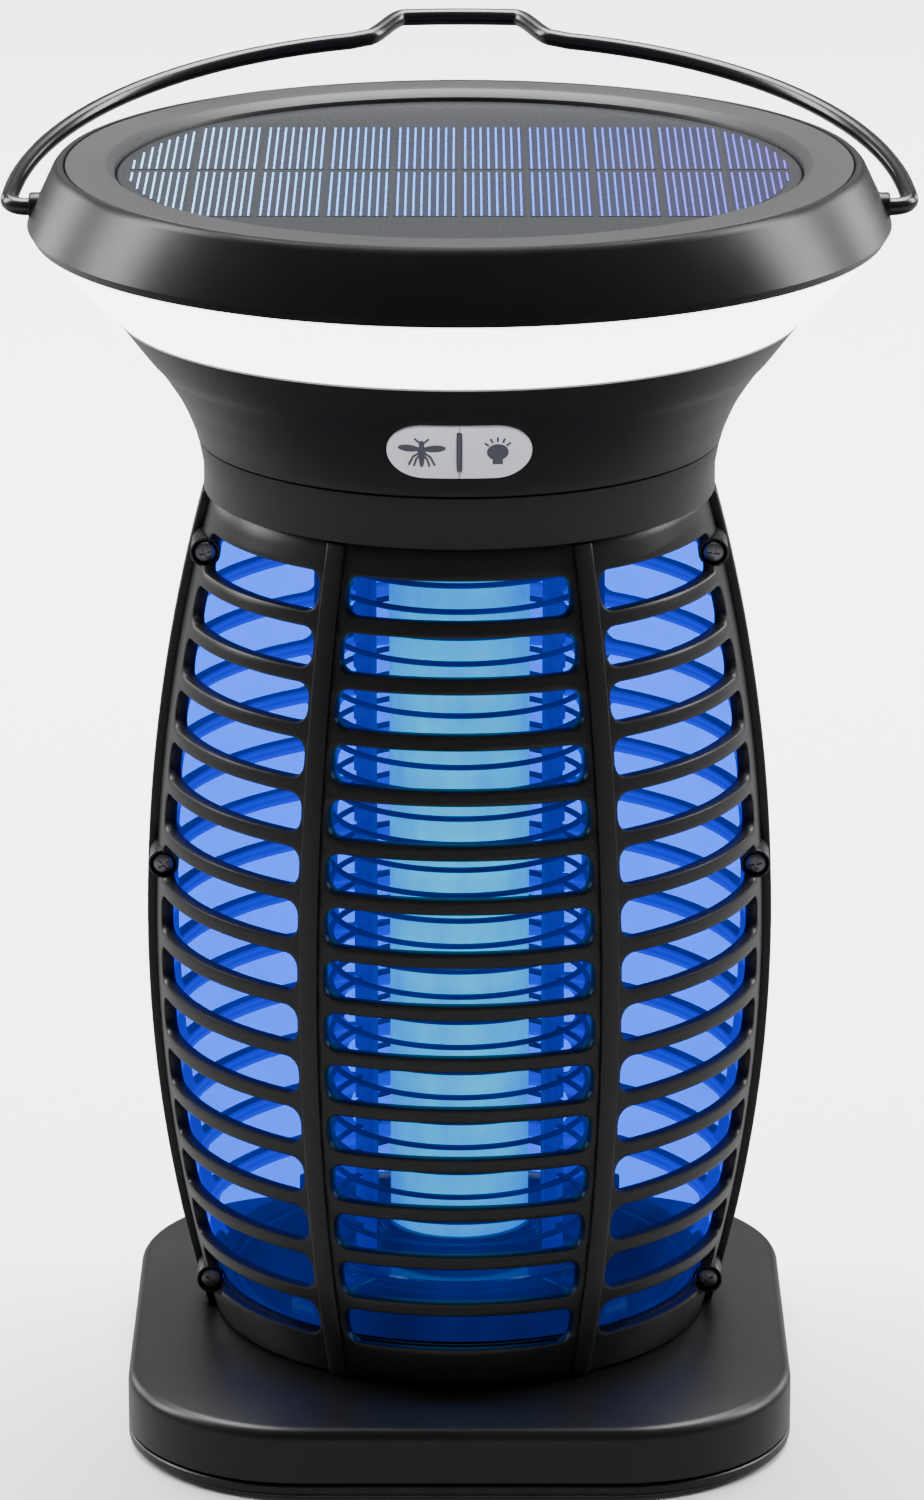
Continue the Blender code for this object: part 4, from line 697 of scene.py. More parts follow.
def carve(item, bm):
    """Cut a shape out of a piece for good; parts of the shape must not overlap."""
    bmesh.ops.recalc_face_normals(bm, faces=bm.faces)
    mesh = bpy.data.meshes.new("cutter")
    bm.to_mesh(mesh)
    bm.free()
    cutter = bpy.data.objects.new("cutter", mesh)
    bpy.context.scene.collection.objects.link(cutter)
    step = item.modifiers.new("carve", "BOOLEAN")
    step.object = cutter
    step.operation = "DIFFERENCE"
    step.solver = "EXACT"
    bpy.context.view_layer.update()
    graph = bpy.context.evaluated_depsgraph_get()
    cut = bpy.data.meshes.new_from_object(item.evaluated_get(graph))
    item.modifiers.remove(step)
    old = item.data
    cut.name = item.name
    item.data = cut
    bpy.data.meshes.remove(old)
    bpy.data.objects.remove(cutter)
    bpy.data.meshes.remove(mesh)
    item.data.shade_smooth()
    item.data.set_sharp_from_angle(angle=32.0 * DEG)
    return item


# ---------------------------------------------------------------- cage

def arc_radius(height, drop):
    return (height * height + drop * drop) / (2.0 * drop)


def slat_radius(z):
    """Outer radius of the cage's slats at a height: two arcs that meet at the belly."""
    offset = z - BELLY_HEIGHT
    if offset > 0.0:
        arc = arc_radius(CAGE_TOP - BELLY_HEIGHT, BULGE_ABOVE)
    else:
        arc = arc_radius(BELLY_HEIGHT - CAGE_BOTTOM, BULGE_BELOW)
    return BELLY_RADIUS - FLANGE_PROUD - (arc - math.sqrt(arc * arc - offset * offset))


def wrap_round(bm, centre=None):
    """Bend a flat layout round the cage: X runs round it, Y is height, Z is depth inwards."""
    for vert in bm.verts:
        along, z, depth = vert.co
        radius = slat_radius(z)
        if centre is None:
            angle = along / FLAT_RADIUS
        else:
            angle = centre + along / radius
        reach = radius - depth
        vert.co = (reach * math.sin(angle), -reach * math.cos(angle), z)
    bmesh.ops.recalc_face_normals(bm, faces=bm.faces)


def slot_ends(z):
    """Where the slots of one row begin and end, on the flat layout."""
    radius = slat_radius(z)
    gap = SLOT_TO_RIB * FLAT_RADIUS / radius
    rib = RIB_ANGLE * FLAT_RADIUS
    far = (math.pi / 2.0 - math.asin(POST_DEPTH / radius)) * FLAT_RADIUS
    return (-far, -rib - gap), (-rib + gap, rib - gap), (rib + gap, far)


def boss_side(side, z):
    """Distance of a screw boss from the middle, on one side, at a height."""
    return side * (slat_radius(z) + FLANGE_PROUD - BOSS_INSET)


def cut_screw_pockets(wall):
    """Round pockets in the wall round the heads of the screws."""
    mesh = bpy.data.meshes.new("pocketed_wall")
    wall.to_mesh(mesh)
    wall.free()
    item = bpy.data.objects.new("pocketed_wall", mesh)
    bpy.context.scene.collection.objects.link(item)
    pockets = bmesh.new()
    for side, z in CAGE_SCREWS:
        x = boss_side(side, z)
        rod(pockets, SEAT_RADIUS, (x, SEAT_DEPTH - BOSS_FRONT, z), (x, -26.0 * MM, z), 32)
    carve(item, pockets)
    cut = bmesh.new()
    cut.from_mesh(item.data)
    bpy.data.objects.remove(item)
    return cut


def bar(width, proud, first, last, centre):
    """A rib or flange: a rounded bar that follows the cage's curve."""
    bm = bmesh.new()
    depth = proud + BAR_ROOT
    place = Matrix.Translation(((first + last) / 2.0, (CAGE_BOTTOM + CAGE_TOP) / 2.0,
                                BAR_ROOT - depth / 2.0))
    block(bm, (width, CAGE_TOP - CAGE_BOTTOM, depth), 0.5 * MM, place, 3)
    rows = 40
    height = (CAGE_TOP - CAGE_BOTTOM) / rows
    slice_at(bm, 1, [CAGE_BOTTOM + height * row for row in range(1, rows)])
    wrap_round(bm, centre)
    return bm


def merge(target, other):
    """Move the contents of one mesh into another."""
    mesh = bpy.data.meshes.new("part")
    other.to_mesh(mesh)
    other.free()
    target.from_mesh(mesh)
    bpy.data.meshes.remove(mesh)


def make_cage_half(name, node, facing):
    """Half of the cage: a slotted wall, its ribs and flanges, its foot and screw bosses."""
    end = (math.pi / 2.0 - math.asin(PARTING / BELLY_RADIUS)) * FLAT_RADIUS
    outlines = [[(-end, CAGE_BOTTOM), (end, CAGE_BOTTOM), (end, CAGE_TOP), (-end, CAGE_TOP)]]
    levels = []
    for row in range(SLOT_COUNT):
        top = SLOT_TOP - SLOT_PITCH * row
        bottom = top - SLOT_HEIGHT
        levels += [bottom - (SLOT_PITCH - SLOT_HEIGHT) / 2.0, (bottom + top) / 2.0]
        for left, right in slot_ends((bottom + top) / 2.0):
            outlines.append(rounded_outline(left, right, bottom, top, SLOT_CORNER))
    wall = plate(outlines, CAGE_WALL, SLAT_EDGE, 1)
    count = 72
    slice_at(wall, 0, [-end + 2.0 * end * step / count for step in range(1, count)])
    slice_at(wall, 1, levels + [CAGE_BOTTOM + 5.0 * MM, CAGE_TOP - 3.0 * MM])
    wrap_round(wall)
    if facing < 0:
        wall = cut_screw_pockets(wall)
    # faces that look inwards take the second finish, with the lamp's light and shade painted on
    for face in wall.faces:
        middle = face.calc_center_median()
        if face.normal.dot(Vector((middle.x, middle.y, 0.0)).normalized()) < -0.6:
            face.material_index = 1

    for side in (-1.0, 1.0):
        merge(wall, bar(RIB_WIDTH, RIB_PROUD, 0.0, 0.0, side * RIB_ANGLE))
        middle = -side * (PARTING + FLANGE_WIDTH / 2.0)
        centre = side * math.pi / 2.0
        merge(wall, bar(FLANGE_WIDTH - PARTING, FLANGE_PROUD, middle, middle, centre))

    foot = bmesh.new()
    inner_wall = slat_radius(SKIRT_TOP + 1.2 * MM) - CAGE_WALL + 0.4 * MM
    profile = [
        (slat_radius(CAGE_BOTTOM) - 0.7 * MM, CAGE_BOTTOM), (inner_wall, SKIRT_TOP + 1.2 * MM),
        (FOOT_LAND, SKIRT_TOP), (FOOT_LAND, GROOVE_TOP), (FOOT_GROOVE, GROOVE_TOP),
        (FOOT_GROOVE, GROOVE_BOTTOM), (FOOT_LAND, GROOVE_BOTTOM), (FOOT_LAND, CAGE_BOTTOM),
    ]
    sliver = PARTING / FOOT_LAND
    turn(foot, profile, STEPS // 2, math.pi - 2.0 * sliver, math.pi + sliver)
    bmesh.ops.recalc_face_normals(foot, faces=foot.faces)
    merge(wall, foot)

    for side, z in CAGE_SCREWS:
        x = boss_side(side, z)
        boss = bmesh.new()
        if facing < 0:
            outline = [
                (0.0, PARTING), (BOSS_RADIUS, PARTING), (BOSS_RADIUS, BOSS_FRONT),
                (SEAT_RADIUS, BOSS_FRONT), (SEAT_RADIUS, BOSS_FRONT - SEAT_DEPTH),
                (0.0, BOSS_FRONT - SEAT_DEPTH),
            ]
        else:
            outline = [
                (0.0, PARTING), (BOSS_RADIUS, PARTING), (BOSS_RADIUS, BOSS_BACK), (0.0, BOSS_BACK),
            ]
        turn(boss, outline, 32, closed=False)
        soften(boss, 0.25 * MM, 2)
        bmesh.ops.rotate(boss, verts=boss.verts, matrix=Matrix.Rotation(math.pi / 2.0, 3, "X"))
        shift(boss, (x, 0.0, z))
        bmesh.ops.recalc_face_normals(boss, faces=boss.faces)
        merge(wall, boss)
    if facing > 0:
        bmesh.ops.rotate(wall, verts=wall.verts, matrix=Matrix.Rotation(math.pi, 3, "Z"))
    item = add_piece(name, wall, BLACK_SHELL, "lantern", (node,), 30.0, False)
    item.data.materials.append(LIT_SHELL)
    return item


def make_glow_skins():
    """The lamp's blue light in the chamber, painted as one thin glowing skin just inside each half
    of the cage.
    """
    for name, finish, start in (("glow_skin_front", FRONT_GLOW_SKIN, math.pi), ("glow_skin_back", BACK_GLOW_SKIN, 0.0)):
        bm = bmesh.new()
        bottom, top, rows = SKIRT_TOP + 1.6 * MM, CEILING_BOTTOM - 0.4 * MM, 48
        levels = [bottom + (top - bottom) * row / rows for row in range(rows + 1)]
        profile = [(slat_radius(z) - CAGE_WALL - 0.5 * MM, z) for z in levels]
        turn(bm, profile, STEPS // 2, math.pi, start, closed=False)
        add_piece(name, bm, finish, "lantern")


def make_screw(number, node, where, inward, body):
    """A pan-head screw with a cross recess."""
    bm = bmesh.new()
    head = SCREW_HEAD
    dome = [(head * math.cos(a * DEG), 0.45 * MM * math.sin(a * DEG)) for a in range(0, 91, 15)]
    profile = [(0.0, -7.0 * MM), (1.0 * MM, -6.6 * MM), (1.1 * MM, -0.75 * MM), (head, -0.75 * MM)]
    turn(bm, profile + dome, 40, closed=False)
    facing = (-Vector(inward)).to_track_quat("Z", "Y").to_matrix()
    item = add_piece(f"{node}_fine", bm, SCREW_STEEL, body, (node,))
    for quarter in (0.0, 90.0):
        slot_cut = bmesh.new()
        spin = Matrix.Rotation((quarter + 20.0 * number) * DEG, 4, "Z")
        lift = Matrix.Translation((0.0, 0.0, 0.55 * MM))
        block(slot_cut, (2.5 * MM, 0.55 * MM, 1.3 * MM), 0.0, spin @ lift)
        carve(item, slot_cut)
    item.data.transform(Matrix.Translation(where) @ facing.to_4x4())
    return item


# ---------------------------------------------------------------- base

def square_reach(angle, inset):
    """Distance from the axis to the base's rounded square outline."""
    half = BASE_HALF - inset
    corner = BASE_CORNER - inset
    middle = half - corner
    along = max(abs(math.cos(angle)), abs(math.sin(angle)))
    across = min(abs(math.cos(angle)), abs(math.sin(angle)))
    reach = half / along
    if reach * across > middle:
        total = middle * (along + across)
        reach = total + math.sqrt(total * total - 2.0 * middle * middle + corner * corner)
    return reach


def ring(bm, height, inset=None, radius=None, share=1.0, count=2 * STEPS):
    """A loop of edges: the base's outline drawn in by an inset, a circle, or a shape between."""
    made = bmesh.ops.create_circle(bm, cap_ends=False, segments=count, radius=1.0)["verts"]
    for vert in made:
        angle = math.atan2(vert.co.y, vert.co.x)
        if radius is None:
            reach = square_reach(angle, inset)
        elif inset is None:
            reach = radius
        else:
            outer = square_reach(angle, inset)
            reach = outer + (radius - outer) * share
        vert.co = (reach * math.cos(angle), reach * math.sin(angle), height)
    return list(dict.fromkeys(edge for vert in made for edge in vert.link_edges))


def skin(bm, loops, close=False):
    """Bridge each loop to the next."""
    pairs = list(zip(loops, loops[1:]))
    if close:
        pairs.append((loops[-1], loops[0]))
    for first, second in pairs:
        bmesh.ops.bridge_loops(bm, edges=first + second)


def quarter(inset, height, radius, first, last, count=5):
    """Insets and heights round a quarter turn."""
    steps = []
    for step in range(count + 1):
        angle = (first + (last - first) * step / count) * DEG
        steps.append((inset - radius * math.cos(angle), height + radius * math.sin(angle)))
    return steps


def make_base():
    bm = bmesh.new()
    loops = [ring(bm, BASE_BOTTOM + 0.4 * MM, 0.0)]
    for inset, height in quarter(BASE_EDGE, BASE_SIDE_TOP - BASE_EDGE, BASE_EDGE, 0.0, 84.0, 7):
        loops.append(ring(bm, height, inset))
    under = BASE_DOME_TOP - BASE_WALL
    rise = BASE_DOME_TOP - BASE_SIDE_TOP
    for share in (0.35, 0.7, 0.92):
        height = BASE_SIDE_TOP + rise * math.sin(share * math.pi / 2.0)
        loops.append(ring(bm, height, BASE_EDGE, DOME_RADIUS, share))
    spigot = SPIGOT_RADIUS
    for radius, height in (
        (DOME_RADIUS, BASE_DOME_TOP), (spigot + 0.6 * MM, BASE_DOME_TOP),
        (spigot, BASE_DOME_TOP + 0.6 * MM), (spigot, SPIGOT_TOP - 0.5 * MM),
        (spigot - 0.5 * MM, SPIGOT_TOP), (spigot - SPIGOT_WALL + 0.4 * MM, SPIGOT_TOP),
        (spigot - SPIGOT_WALL, SPIGOT_TOP - 0.4 * MM), (spigot - SPIGOT_WALL, under),
    ):
        loops.append(ring(bm, height, radius=radius))
    loops.append(ring(bm, BASE_SIDE_TOP - BASE_WALL, BASE_EDGE + BASE_WALL))
    loops.append(ring(bm, BASE_SIDE_TOP - BASE_WALL - BASE_EDGE, BASE_WALL))
    loops.append(ring(bm, BASE_BOTTOM, BASE_WALL))
    loops.append(ring(bm, BASE_BOTTOM, 0.4 * MM))
    skin(bm, loops, close=True)
    for angle in LUG_ANGLES:
        middle = polar(SPIGOT_RADIUS + 0.4 * MM, angle, GROOVE_BOTTOM + 1.5 * MM)
        place = Matrix.Translation(middle) @ Matrix.Rotation(angle * DEG, 4, "Z")
        block(bm, (2.6 * MM, LUG_WIDTH, 2.4 * MM), 0.3 * MM, place)
    for angle in (0.0, 90.0, 180.0, 270.0):
        spot = polar(BASE_SCREW_REACH, angle)
        rod(bm, 3.0 * MM, spot + Vector((0, 0, BASE_BOTTOM)), spot + Vector((0, 0, under)))
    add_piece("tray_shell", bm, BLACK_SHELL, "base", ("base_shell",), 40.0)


def make_bottom_plate():
    bm = bmesh.new()
    loops = [ring(bm, PLATE_TOP, 2.6 * MM), ring(bm, PLATE_TOP, 0.25 * MM)]
    loops.append(ring(bm, PLATE_TOP - 0.25 * MM, 0.0))
    for inset, height in quarter(1.0 * MM, PLATE_BOTTOM + 1.0 * MM, 1.0 * MM, 0.0, -90.0, 4):
        loops.append(ring(bm, height, inset))
    skin(bm, loops)
    for loop in (loops[0], loops[-1]):
        made = bmesh.ops.edgeloop_fill(bm, edges=loop)
        bmesh.ops.inset_region(bm, faces=made["faces"], thickness=4.0 * MM)
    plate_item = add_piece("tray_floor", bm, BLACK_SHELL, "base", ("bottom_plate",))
    pockets = bmesh.new()
    low, high = Vector((0, 0, -1.0 * MM)), Vector((0, 0, 2.3 * MM))
    for number in range(4):
        spot = polar(FOOT_REACH, 45.0 + 90.0 * number)
        rod(pockets, 6.3 * MM, spot + low, spot + high, 40)
        spot = polar(BASE_SCREW_REACH, 90.0 * number)
        rod(pockets, 2.4 * MM, spot + low, spot + high, 32)
    carve(plate_item, pockets)


def make_feet():
    for number in range(1, 5):
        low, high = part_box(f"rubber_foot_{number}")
        middle = (low + high) / 2.0
        reach = (high.x - low.x) / 2.0
        bm = bmesh.new()
        profile = [
            (0.0, 0.15 * MM), (reach - 2.6 * MM, 0.15 * MM), (reach - 2.3 * MM, 0.0),
            (reach - 0.9 * MM, 0.0), (reach - 0.4 * MM, 0.15 * MM), (reach, 0.6 * MM),
            (reach, high.z), (0.0, high.z),
        ]
        turn(bm, profile, 48, closed=False)
        shift(bm, (middle.x, middle.y, 0.0))
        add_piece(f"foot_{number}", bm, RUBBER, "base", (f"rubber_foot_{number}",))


# ---------------------------------------------------------------- grid and lamp

def make_grid():
    for node, first in (("hv_grid_a", 0), ("hv_grid_b", 1)):
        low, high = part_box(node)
        bus_side = 1.0 if abs(high.x) > abs(low.x) else -1.0
        bm = bmesh.new()
        for index in range(first, GRID_COUNT, 2):
            z = GRID_BOTTOM + GRID_PITCH * index
            wire = [
                (GRID_RADIUS + WIRE_ROUND * math.cos(a * DEG), z + WIRE_ROUND * math.sin(a * DEG))
                for a in range(0, 360, 45)
            ]
            turn(bm, wire, 72)
        reach = bus_side * (GRID_RADIUS + GRID_WIRE + 1.4 * MM)
        size = (1.5 * MM, 1.5 * MM, high.z - low.z - 0.2 * MM)
        place = Matrix.Translation((reach, 0.0, (low.z + high.z) / 2.0))
        block(bm, size, 0.2 * MM, place)
        for index in range(first, GRID_COUNT, 2):
            z = GRID_BOTTOM + GRID_PITCH * index
            rod(bm, 0.6 * MM, (bus_side * GRID_RADIUS, 0, z), (reach, 0, z), 10)
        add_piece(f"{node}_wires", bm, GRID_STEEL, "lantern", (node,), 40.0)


def make_combs():
    """Toothed insulating bars that space the rings."""
    for number, angle in enumerate(COMB_ANGLES, start=1):
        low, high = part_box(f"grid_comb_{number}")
        bm = bmesh.new()
        spin = Matrix.Rotation(angle * DEG, 4, "Z")
        middle = (low.z + high.z) / 2.0
        back = Matrix.Translation((GRID_RADIUS - GRID_WIRE - 2.6 * MM, 0.0, middle))
        block(bm, (1.6 * MM, 2.8 * MM, high.z - low.z), 0.25 * MM, spin @ back)
        for index in range(GRID_COUNT + 1):
            z = GRID_BOTTOM + GRID_PITCH * (index - 0.5)
            lift = Matrix.Translation((GRID_RADIUS - GRID_WIRE - 1.0 * MM, 0.0, z))
            block(bm, (2.4 * MM, 2.4 * MM, GRID_PITCH - 2.4 * MM), 0.2 * MM, spin @ lift, 1)
        node = f"grid_comb_{number}"
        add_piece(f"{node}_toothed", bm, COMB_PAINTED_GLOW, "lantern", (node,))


def make_holders():
    """The stepped disc on four arms under the grid, and the ceiling above it."""
    bm = bmesh.new()
    outer = HOLDER_RADIUS
    profile = [
        (outer - 0.4 * MM, HOLDER_BOTTOM), (outer, HOLDER_BOTTOM + 0.4 * MM),
        (outer, HOLDER_TOP - 1.9 * MM), (outer - 0.5 * MM, HOLDER_TOP - 1.4 * MM),
        (outer - 1.9 * MM, HOLDER_TOP - 1.3 * MM), (outer - 2.3 * MM, HOLDER_TOP - 0.9 * MM),
        (outer - 2.4 * MM, HOLDER_TOP - 0.3 * MM), (outer - 2.8 * MM, HOLDER_TOP),
        (0.0, HOLDER_TOP), (0.0, HOLDER_BOTTOM),
    ]
    turn(bm, profile, STEPS, closed=False)
    for angle in HOLDER_ARMS:
        reach = slat_radius(HOLDER_BOTTOM) - CAGE_WALL - 1.0 * MM
        first = outer - 3.0 * MM
        size = (reach - first, 6.0 * MM, HOLDER_TOP - HOLDER_BOTTOM - 0.8 * MM)
        middle = Matrix.Translation(((reach + first) / 2.0, 0.0, HOLDER_BOTTOM + size[2] / 2.0))
        block(bm, size, 0.5 * MM, Matrix.Rotation(angle * DEG, 4, "Z") @ middle, 3)
    node = "lower_grid_holder"
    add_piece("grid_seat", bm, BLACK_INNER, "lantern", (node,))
    bm = bmesh.new()
    profile = [
        (0.0, CEILING_BOTTOM), (CEILING_RADIUS - 0.5 * MM, CEILING_BOTTOM),
        (CEILING_RADIUS, CEILING_BOTTOM + 0.5 * MM), (CEILING_RADIUS, CEILING_TOP),
        (0.0, CEILING_TOP),
    ]
    turn(bm, profile, STEPS, closed=False)
    low, high = CEILING_BOTTOM - 1.2 * MM, CEILING_BOTTOM + 0.6 * MM
    rim = rounded_outline(33.0 * MM, 35.0 * MM, low, high, 0.4 * MM, 2)
    turn(bm, rim, STEPS)
    node = "upper_grid_holder"
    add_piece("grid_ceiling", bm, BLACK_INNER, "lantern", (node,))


def make_lamp():
    bm = bmesh.new()
    wall = 1.3 * MM
    profile = [
        (LAMP_RADIUS - wall, LAMP_BOTTOM), (LAMP_RADIUS, LAMP_BOTTOM), (LAMP_RADIUS, LAMP_TOP),
        (LAMP_RADIUS - wall, LAMP_TOP),
    ]
    turn(bm, profile, 96)
    soften(bm, 0.3 * MM, 2, 60.0)
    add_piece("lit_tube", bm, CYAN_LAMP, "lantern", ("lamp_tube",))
    for name, node, upward in (
        ("lamp_foot", "lamp_socket", 1.0), ("lamp_head", "lamp_top_socket", -1.0),
    ):
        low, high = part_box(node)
        foot, head = (low.z, high.z) if upward > 0 else (high.z, low.z)
        bm = bmesh.new()
        bore = LAMP_RADIUS + 0.3 * MM
        profile = [
            (bore, foot), (SOCKET_RADIUS, foot), (SOCKET_RADIUS, foot + upward * 2.2 * MM),
            (SOCKET_RADIUS - 0.8 * MM, foot + upward * 2.6 * MM),
            (SOCKET_RADIUS - 1.2 * MM, head), (bore, head),
        ]
        turn(bm, profile, 96)
        soften(bm, 0.2 * MM, 2, 40.0)
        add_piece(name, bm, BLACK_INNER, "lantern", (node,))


# ---------------------------------------------------------------- collar, neck and keys

def flare_path():
    """The neck's outer face from foot to top, as (radius, height)."""
    points = [(COLLAR_RIM + out * MM, NECK_BOTTOM + up * MM) for out, up in NECK_FLARE]
    return eased(points, 48)


FLARE = flare_path()


def neck_face(height):
    """Point on the neck's face at a height, and its outward normal, as (radius, height)."""
    for low, high in zip(FLARE, FLARE[1:]):
        if low.y <= height <= high.y + 1e-9:
            share = (height - low.y) / (high.y - low.y)
            run = (high - low).normalized()
            return low.lerp(high, share), Vector((run.y, -run.x))
    raise ValueError("height is off the neck")


def lay_on_neck(bm, facing):
    """Bend a flat layout onto the neck: X runs round, Y runs up its face, Z stands out."""
    slope = neck_face(KEY_HEIGHT)[1].x
    for vert in bm.verts:
        along, up, out = vert.co
        height = max(NECK_BOTTOM, min(NECK_TOP, KEY_HEIGHT + up * slope))
        point, normal = neck_face(height)
        angle = along / point.x
        point = point + normal * out
        vert.co = (-facing * point.x * math.sin(angle), facing * point.x * math.cos(angle), point.y)


def make_collar():
    bm = bmesh.new()
    middle = (COLLAR_BOTTOM + COLLAR_TOP) / 2.0
    inner = COLLAR_WAIST - NECK_WALL - 1.5 * MM
    profile = [
        (COLLAR_RIM - NECK_WALL, COLLAR_TOP), (COLLAR_RIM, COLLAR_TOP), (COLLAR_WAIST, middle),
        (COLLAR_WAIST, COLLAR_BOTTOM), (inner, COLLAR_BOTTOM), (inner, middle),
        (COLLAR_RIM - NECK_WALL, middle + 1.5 * MM),
    ]
    turn(bm, profile)
    soften(bm, 0.3 * MM, 2, 40.0)
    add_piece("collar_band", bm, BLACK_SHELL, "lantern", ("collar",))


def make_neck():
    bm = bmesh.new()
    outside = [(point.x, point.y) for point in FLARE]
    normals = [neck_face(point.y)[1] for point in FLARE]
    inside = [
        (point.x - normal.x * NECK_WALL, point.y - normal.y * NECK_WALL)
        for point, normal in zip(FLARE, normals)
    ]
    flange = 60.3 * MM
    shelf = NECK_TOP - NECK_WALL
    inside = [(r, z) for r, z in inside if NECK_BOTTOM + 0.4 * MM < z < shelf - 0.4 * MM]
    foot = (outside[0][0] - NECK_WALL, NECK_BOTTOM)
    profile = outside + [(flange, NECK_TOP), (flange, shelf)] + inside[::-1] + [foot]
    turn(bm, profile)
    soften(bm, 0.3 * MM, 2, 50.0)
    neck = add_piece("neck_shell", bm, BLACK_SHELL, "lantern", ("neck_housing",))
    for half, width, steps, facing in (
        (KEY_LENGTH / 2.0 + 0.25 * MM, KEY_WIDTH / 2.0 + 0.25 * MM, 12, -1.0),
        (5.0 * MM, 2.1 * MM, 8, 1.0),
    ):
        outline = rounded_outline(-half, half, -width, width, width * 0.999, steps)
        hole = plate([outline], 14.0 * MM, 0.0, 0)
        shift(hole, (0.0, 0.0, -9.0 * MM))
        if facing < 0.0:
            slice_at(hole, 0, [step * 1.5 * MM for step in range(-9, 10)])
        lay_on_neck(hole, facing)
        carve(neck, hole)


def key_outline(side):
    """Half of the key pill with its share of the notch for the divider."""
    half, width = KEY_LENGTH / 2.0, KEY_WIDTH / 2.0
    gap = 0.03 * MM
    notch = 0.48 * MM
    reach = 5.6 * MM
    points = [(gap, -width)]
    for step in range(25):
        angle = (-90.0 + 180.0 * step / 24) * DEG
        points.append((half - width + width * math.cos(angle), width * math.sin(angle)))
    points += [
        (gap, width), (gap, reach), (notch, reach - 0.3 * MM), (notch, 0.3 * MM - reach),
        (gap, -reach),
    ]
    if side < 0:
        points = [(-x, y) for x, y in reversed(points)]
    return points


def stroke(start, end, width):
    """Outline of a short printed line."""
    start, end = Vector(start) * MM, Vector(end) * MM
    across = Vector((start.y - end.y, end.x - start.x)).normalized() * width * MM / 2.0
    return [tuple(start - across), tuple(end - across), tuple(end + across), tuple(start + across)]


def oval(x, y, wide, high, tilt=0.0, count=20):
    points = []
    for step in range(count):
        angle = math.tau * step / count
        local = Vector((wide * math.cos(angle), high * math.sin(angle)))
        local.rotate(Matrix.Rotation(tilt * DEG, 2))
        points.append(((x + local.x) * MM, (y + local.y) * MM))
    return points


def print_mark(name, shapes, middle, body):
    """Thin ink shapes laid on a key's face."""
    bm = bmesh.new()
    for index, outline in enumerate(shapes):
        outline = [(x + middle, MARK_STRETCH * y) for x, y in outline]
        ink = plate([outline], (0.050 + 0.004 * index) * MM, 0.0, 0)
        merge(bm, ink)
    shift(bm, (0.0, 0.0, KEY_PROUD - 0.01 * MM))
    slice_at(bm, 0, [middle + step * MM for step in range(-5, 6)])
    lay_on_neck(bm, -1.0)
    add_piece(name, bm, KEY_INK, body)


def make_keys():
    for side, node, body in (
        (-1.0, "mosquito_button", "mosquito_key"), (1.0, "lamp_button", "lamp_key"),
    ):
        bm = plate([key_outline(side)], KEY_DEPTH + KEY_PROUD, 0.35 * MM, 2)
        shift(bm, (0.0, 0.0, -KEY_DEPTH))
        slice_at(bm, 0, [side * step * 1.0 * MM for step in range(1, 14)])
        slice_at(bm, 1, [step * 1.8 * MM for step in range(-3, 4)])
        lay_on_neck(bm, -1.0)
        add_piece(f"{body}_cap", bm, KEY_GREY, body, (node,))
    bar_shape = rounded_outline(-0.4 * MM, 0.4 * MM, -5.4 * MM, 5.4 * MM, 0.399 * MM, 6)
    bm = plate([bar_shape], KEY_DEPTH + KEY_PROUD, 0.10 * MM, 1)
    shift(bm, (0.0, 0.0, -KEY_DEPTH))
    lay_on_neck(bm, -1.0)
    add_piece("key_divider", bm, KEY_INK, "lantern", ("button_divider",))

    insect = [
        oval(0.0, 0.2, 0.85, 1.25), oval(0.0, -1.5, 0.55, 1.6), oval(0.0, 1.6, 0.55, 0.8),
        oval(-2.5, 0.75, 2.1, 0.72, -4.0), oval(2.5, 0.75, 2.1, 0.72, 4.0),
    ]
    for side in (-1.0, 1.0):
        insect += [
            stroke((side * 0.3, 1.8), (side * 1.4, 2.8), 0.40),
            stroke((side * 0.5, -0.2), (side * 1.7, -1.0), 0.42),
            stroke((side * 1.6, -0.9), (side * 2.5, -2.7), 0.42),
            stroke((side * 0.4, -0.7), (side * 1.1, -1.5), 0.42),
            stroke((side * 1.0, -1.4), (side * 1.5, -2.9), 0.42),
        ]
    print_mark("insect_mark", insect, -KEY_LENGTH * 0.255, "mosquito_key")
    bulb = [oval(0.0, 0.0, 2.1, 1.7, 0.0, 28), stroke((0.0, -1.2), (0.0, -2.5), 2.0)]
    for angle in (-52.0, -26.0, 0.0, 26.0, 52.0):
        spin = Matrix.Rotation(-angle * DEG, 2)
        first, last = spin @ Vector((0.0, 2.15)), spin @ Vector((0.0, 3.15))
        bulb.append(stroke(first, last, 0.42))
    print_mark("bulb_mark", bulb, KEY_LENGTH * 0.26, "lamp_key")


def make_port_cover():
    half, width = COVER_LENGTH / 2.0, COVER_WIDTH / 2.0
    outline = rounded_outline(-half, half, -width, width, width * 0.999, 12)
    flap = plate([outline], 1.5 * MM, 0.4 * MM, 2)
    shift(flap, (0.0, 0.0, 0.33 * MM))
    rim = plate(
        [rounded_outline(-6.2 * MM, 6.2 * MM, -2.9 * MM, 2.9 * MM, 2.8 * MM, 8),
         rounded_outline(-5.6 * MM, 5.6 * MM, -2.3 * MM, 2.3 * MM, 2.2 * MM, 8)],
        0.35 * MM, 0.1 * MM,
    )
    shift(rim, (0.0, 0.0, 1.7 * MM - 0.2 * MM))
    merge(flap, rim)
    slice_at(flap, 0, [step * 1.0 * MM for step in range(-8, 9)])
    slice_at(flap, 1, [step * 1.5 * MM for step in range(-2, 3)])
    lay_on_neck(flap, 1.0)
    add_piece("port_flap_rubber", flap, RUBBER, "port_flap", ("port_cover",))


# ---------------------------------------------------------------- lamp ring and cap

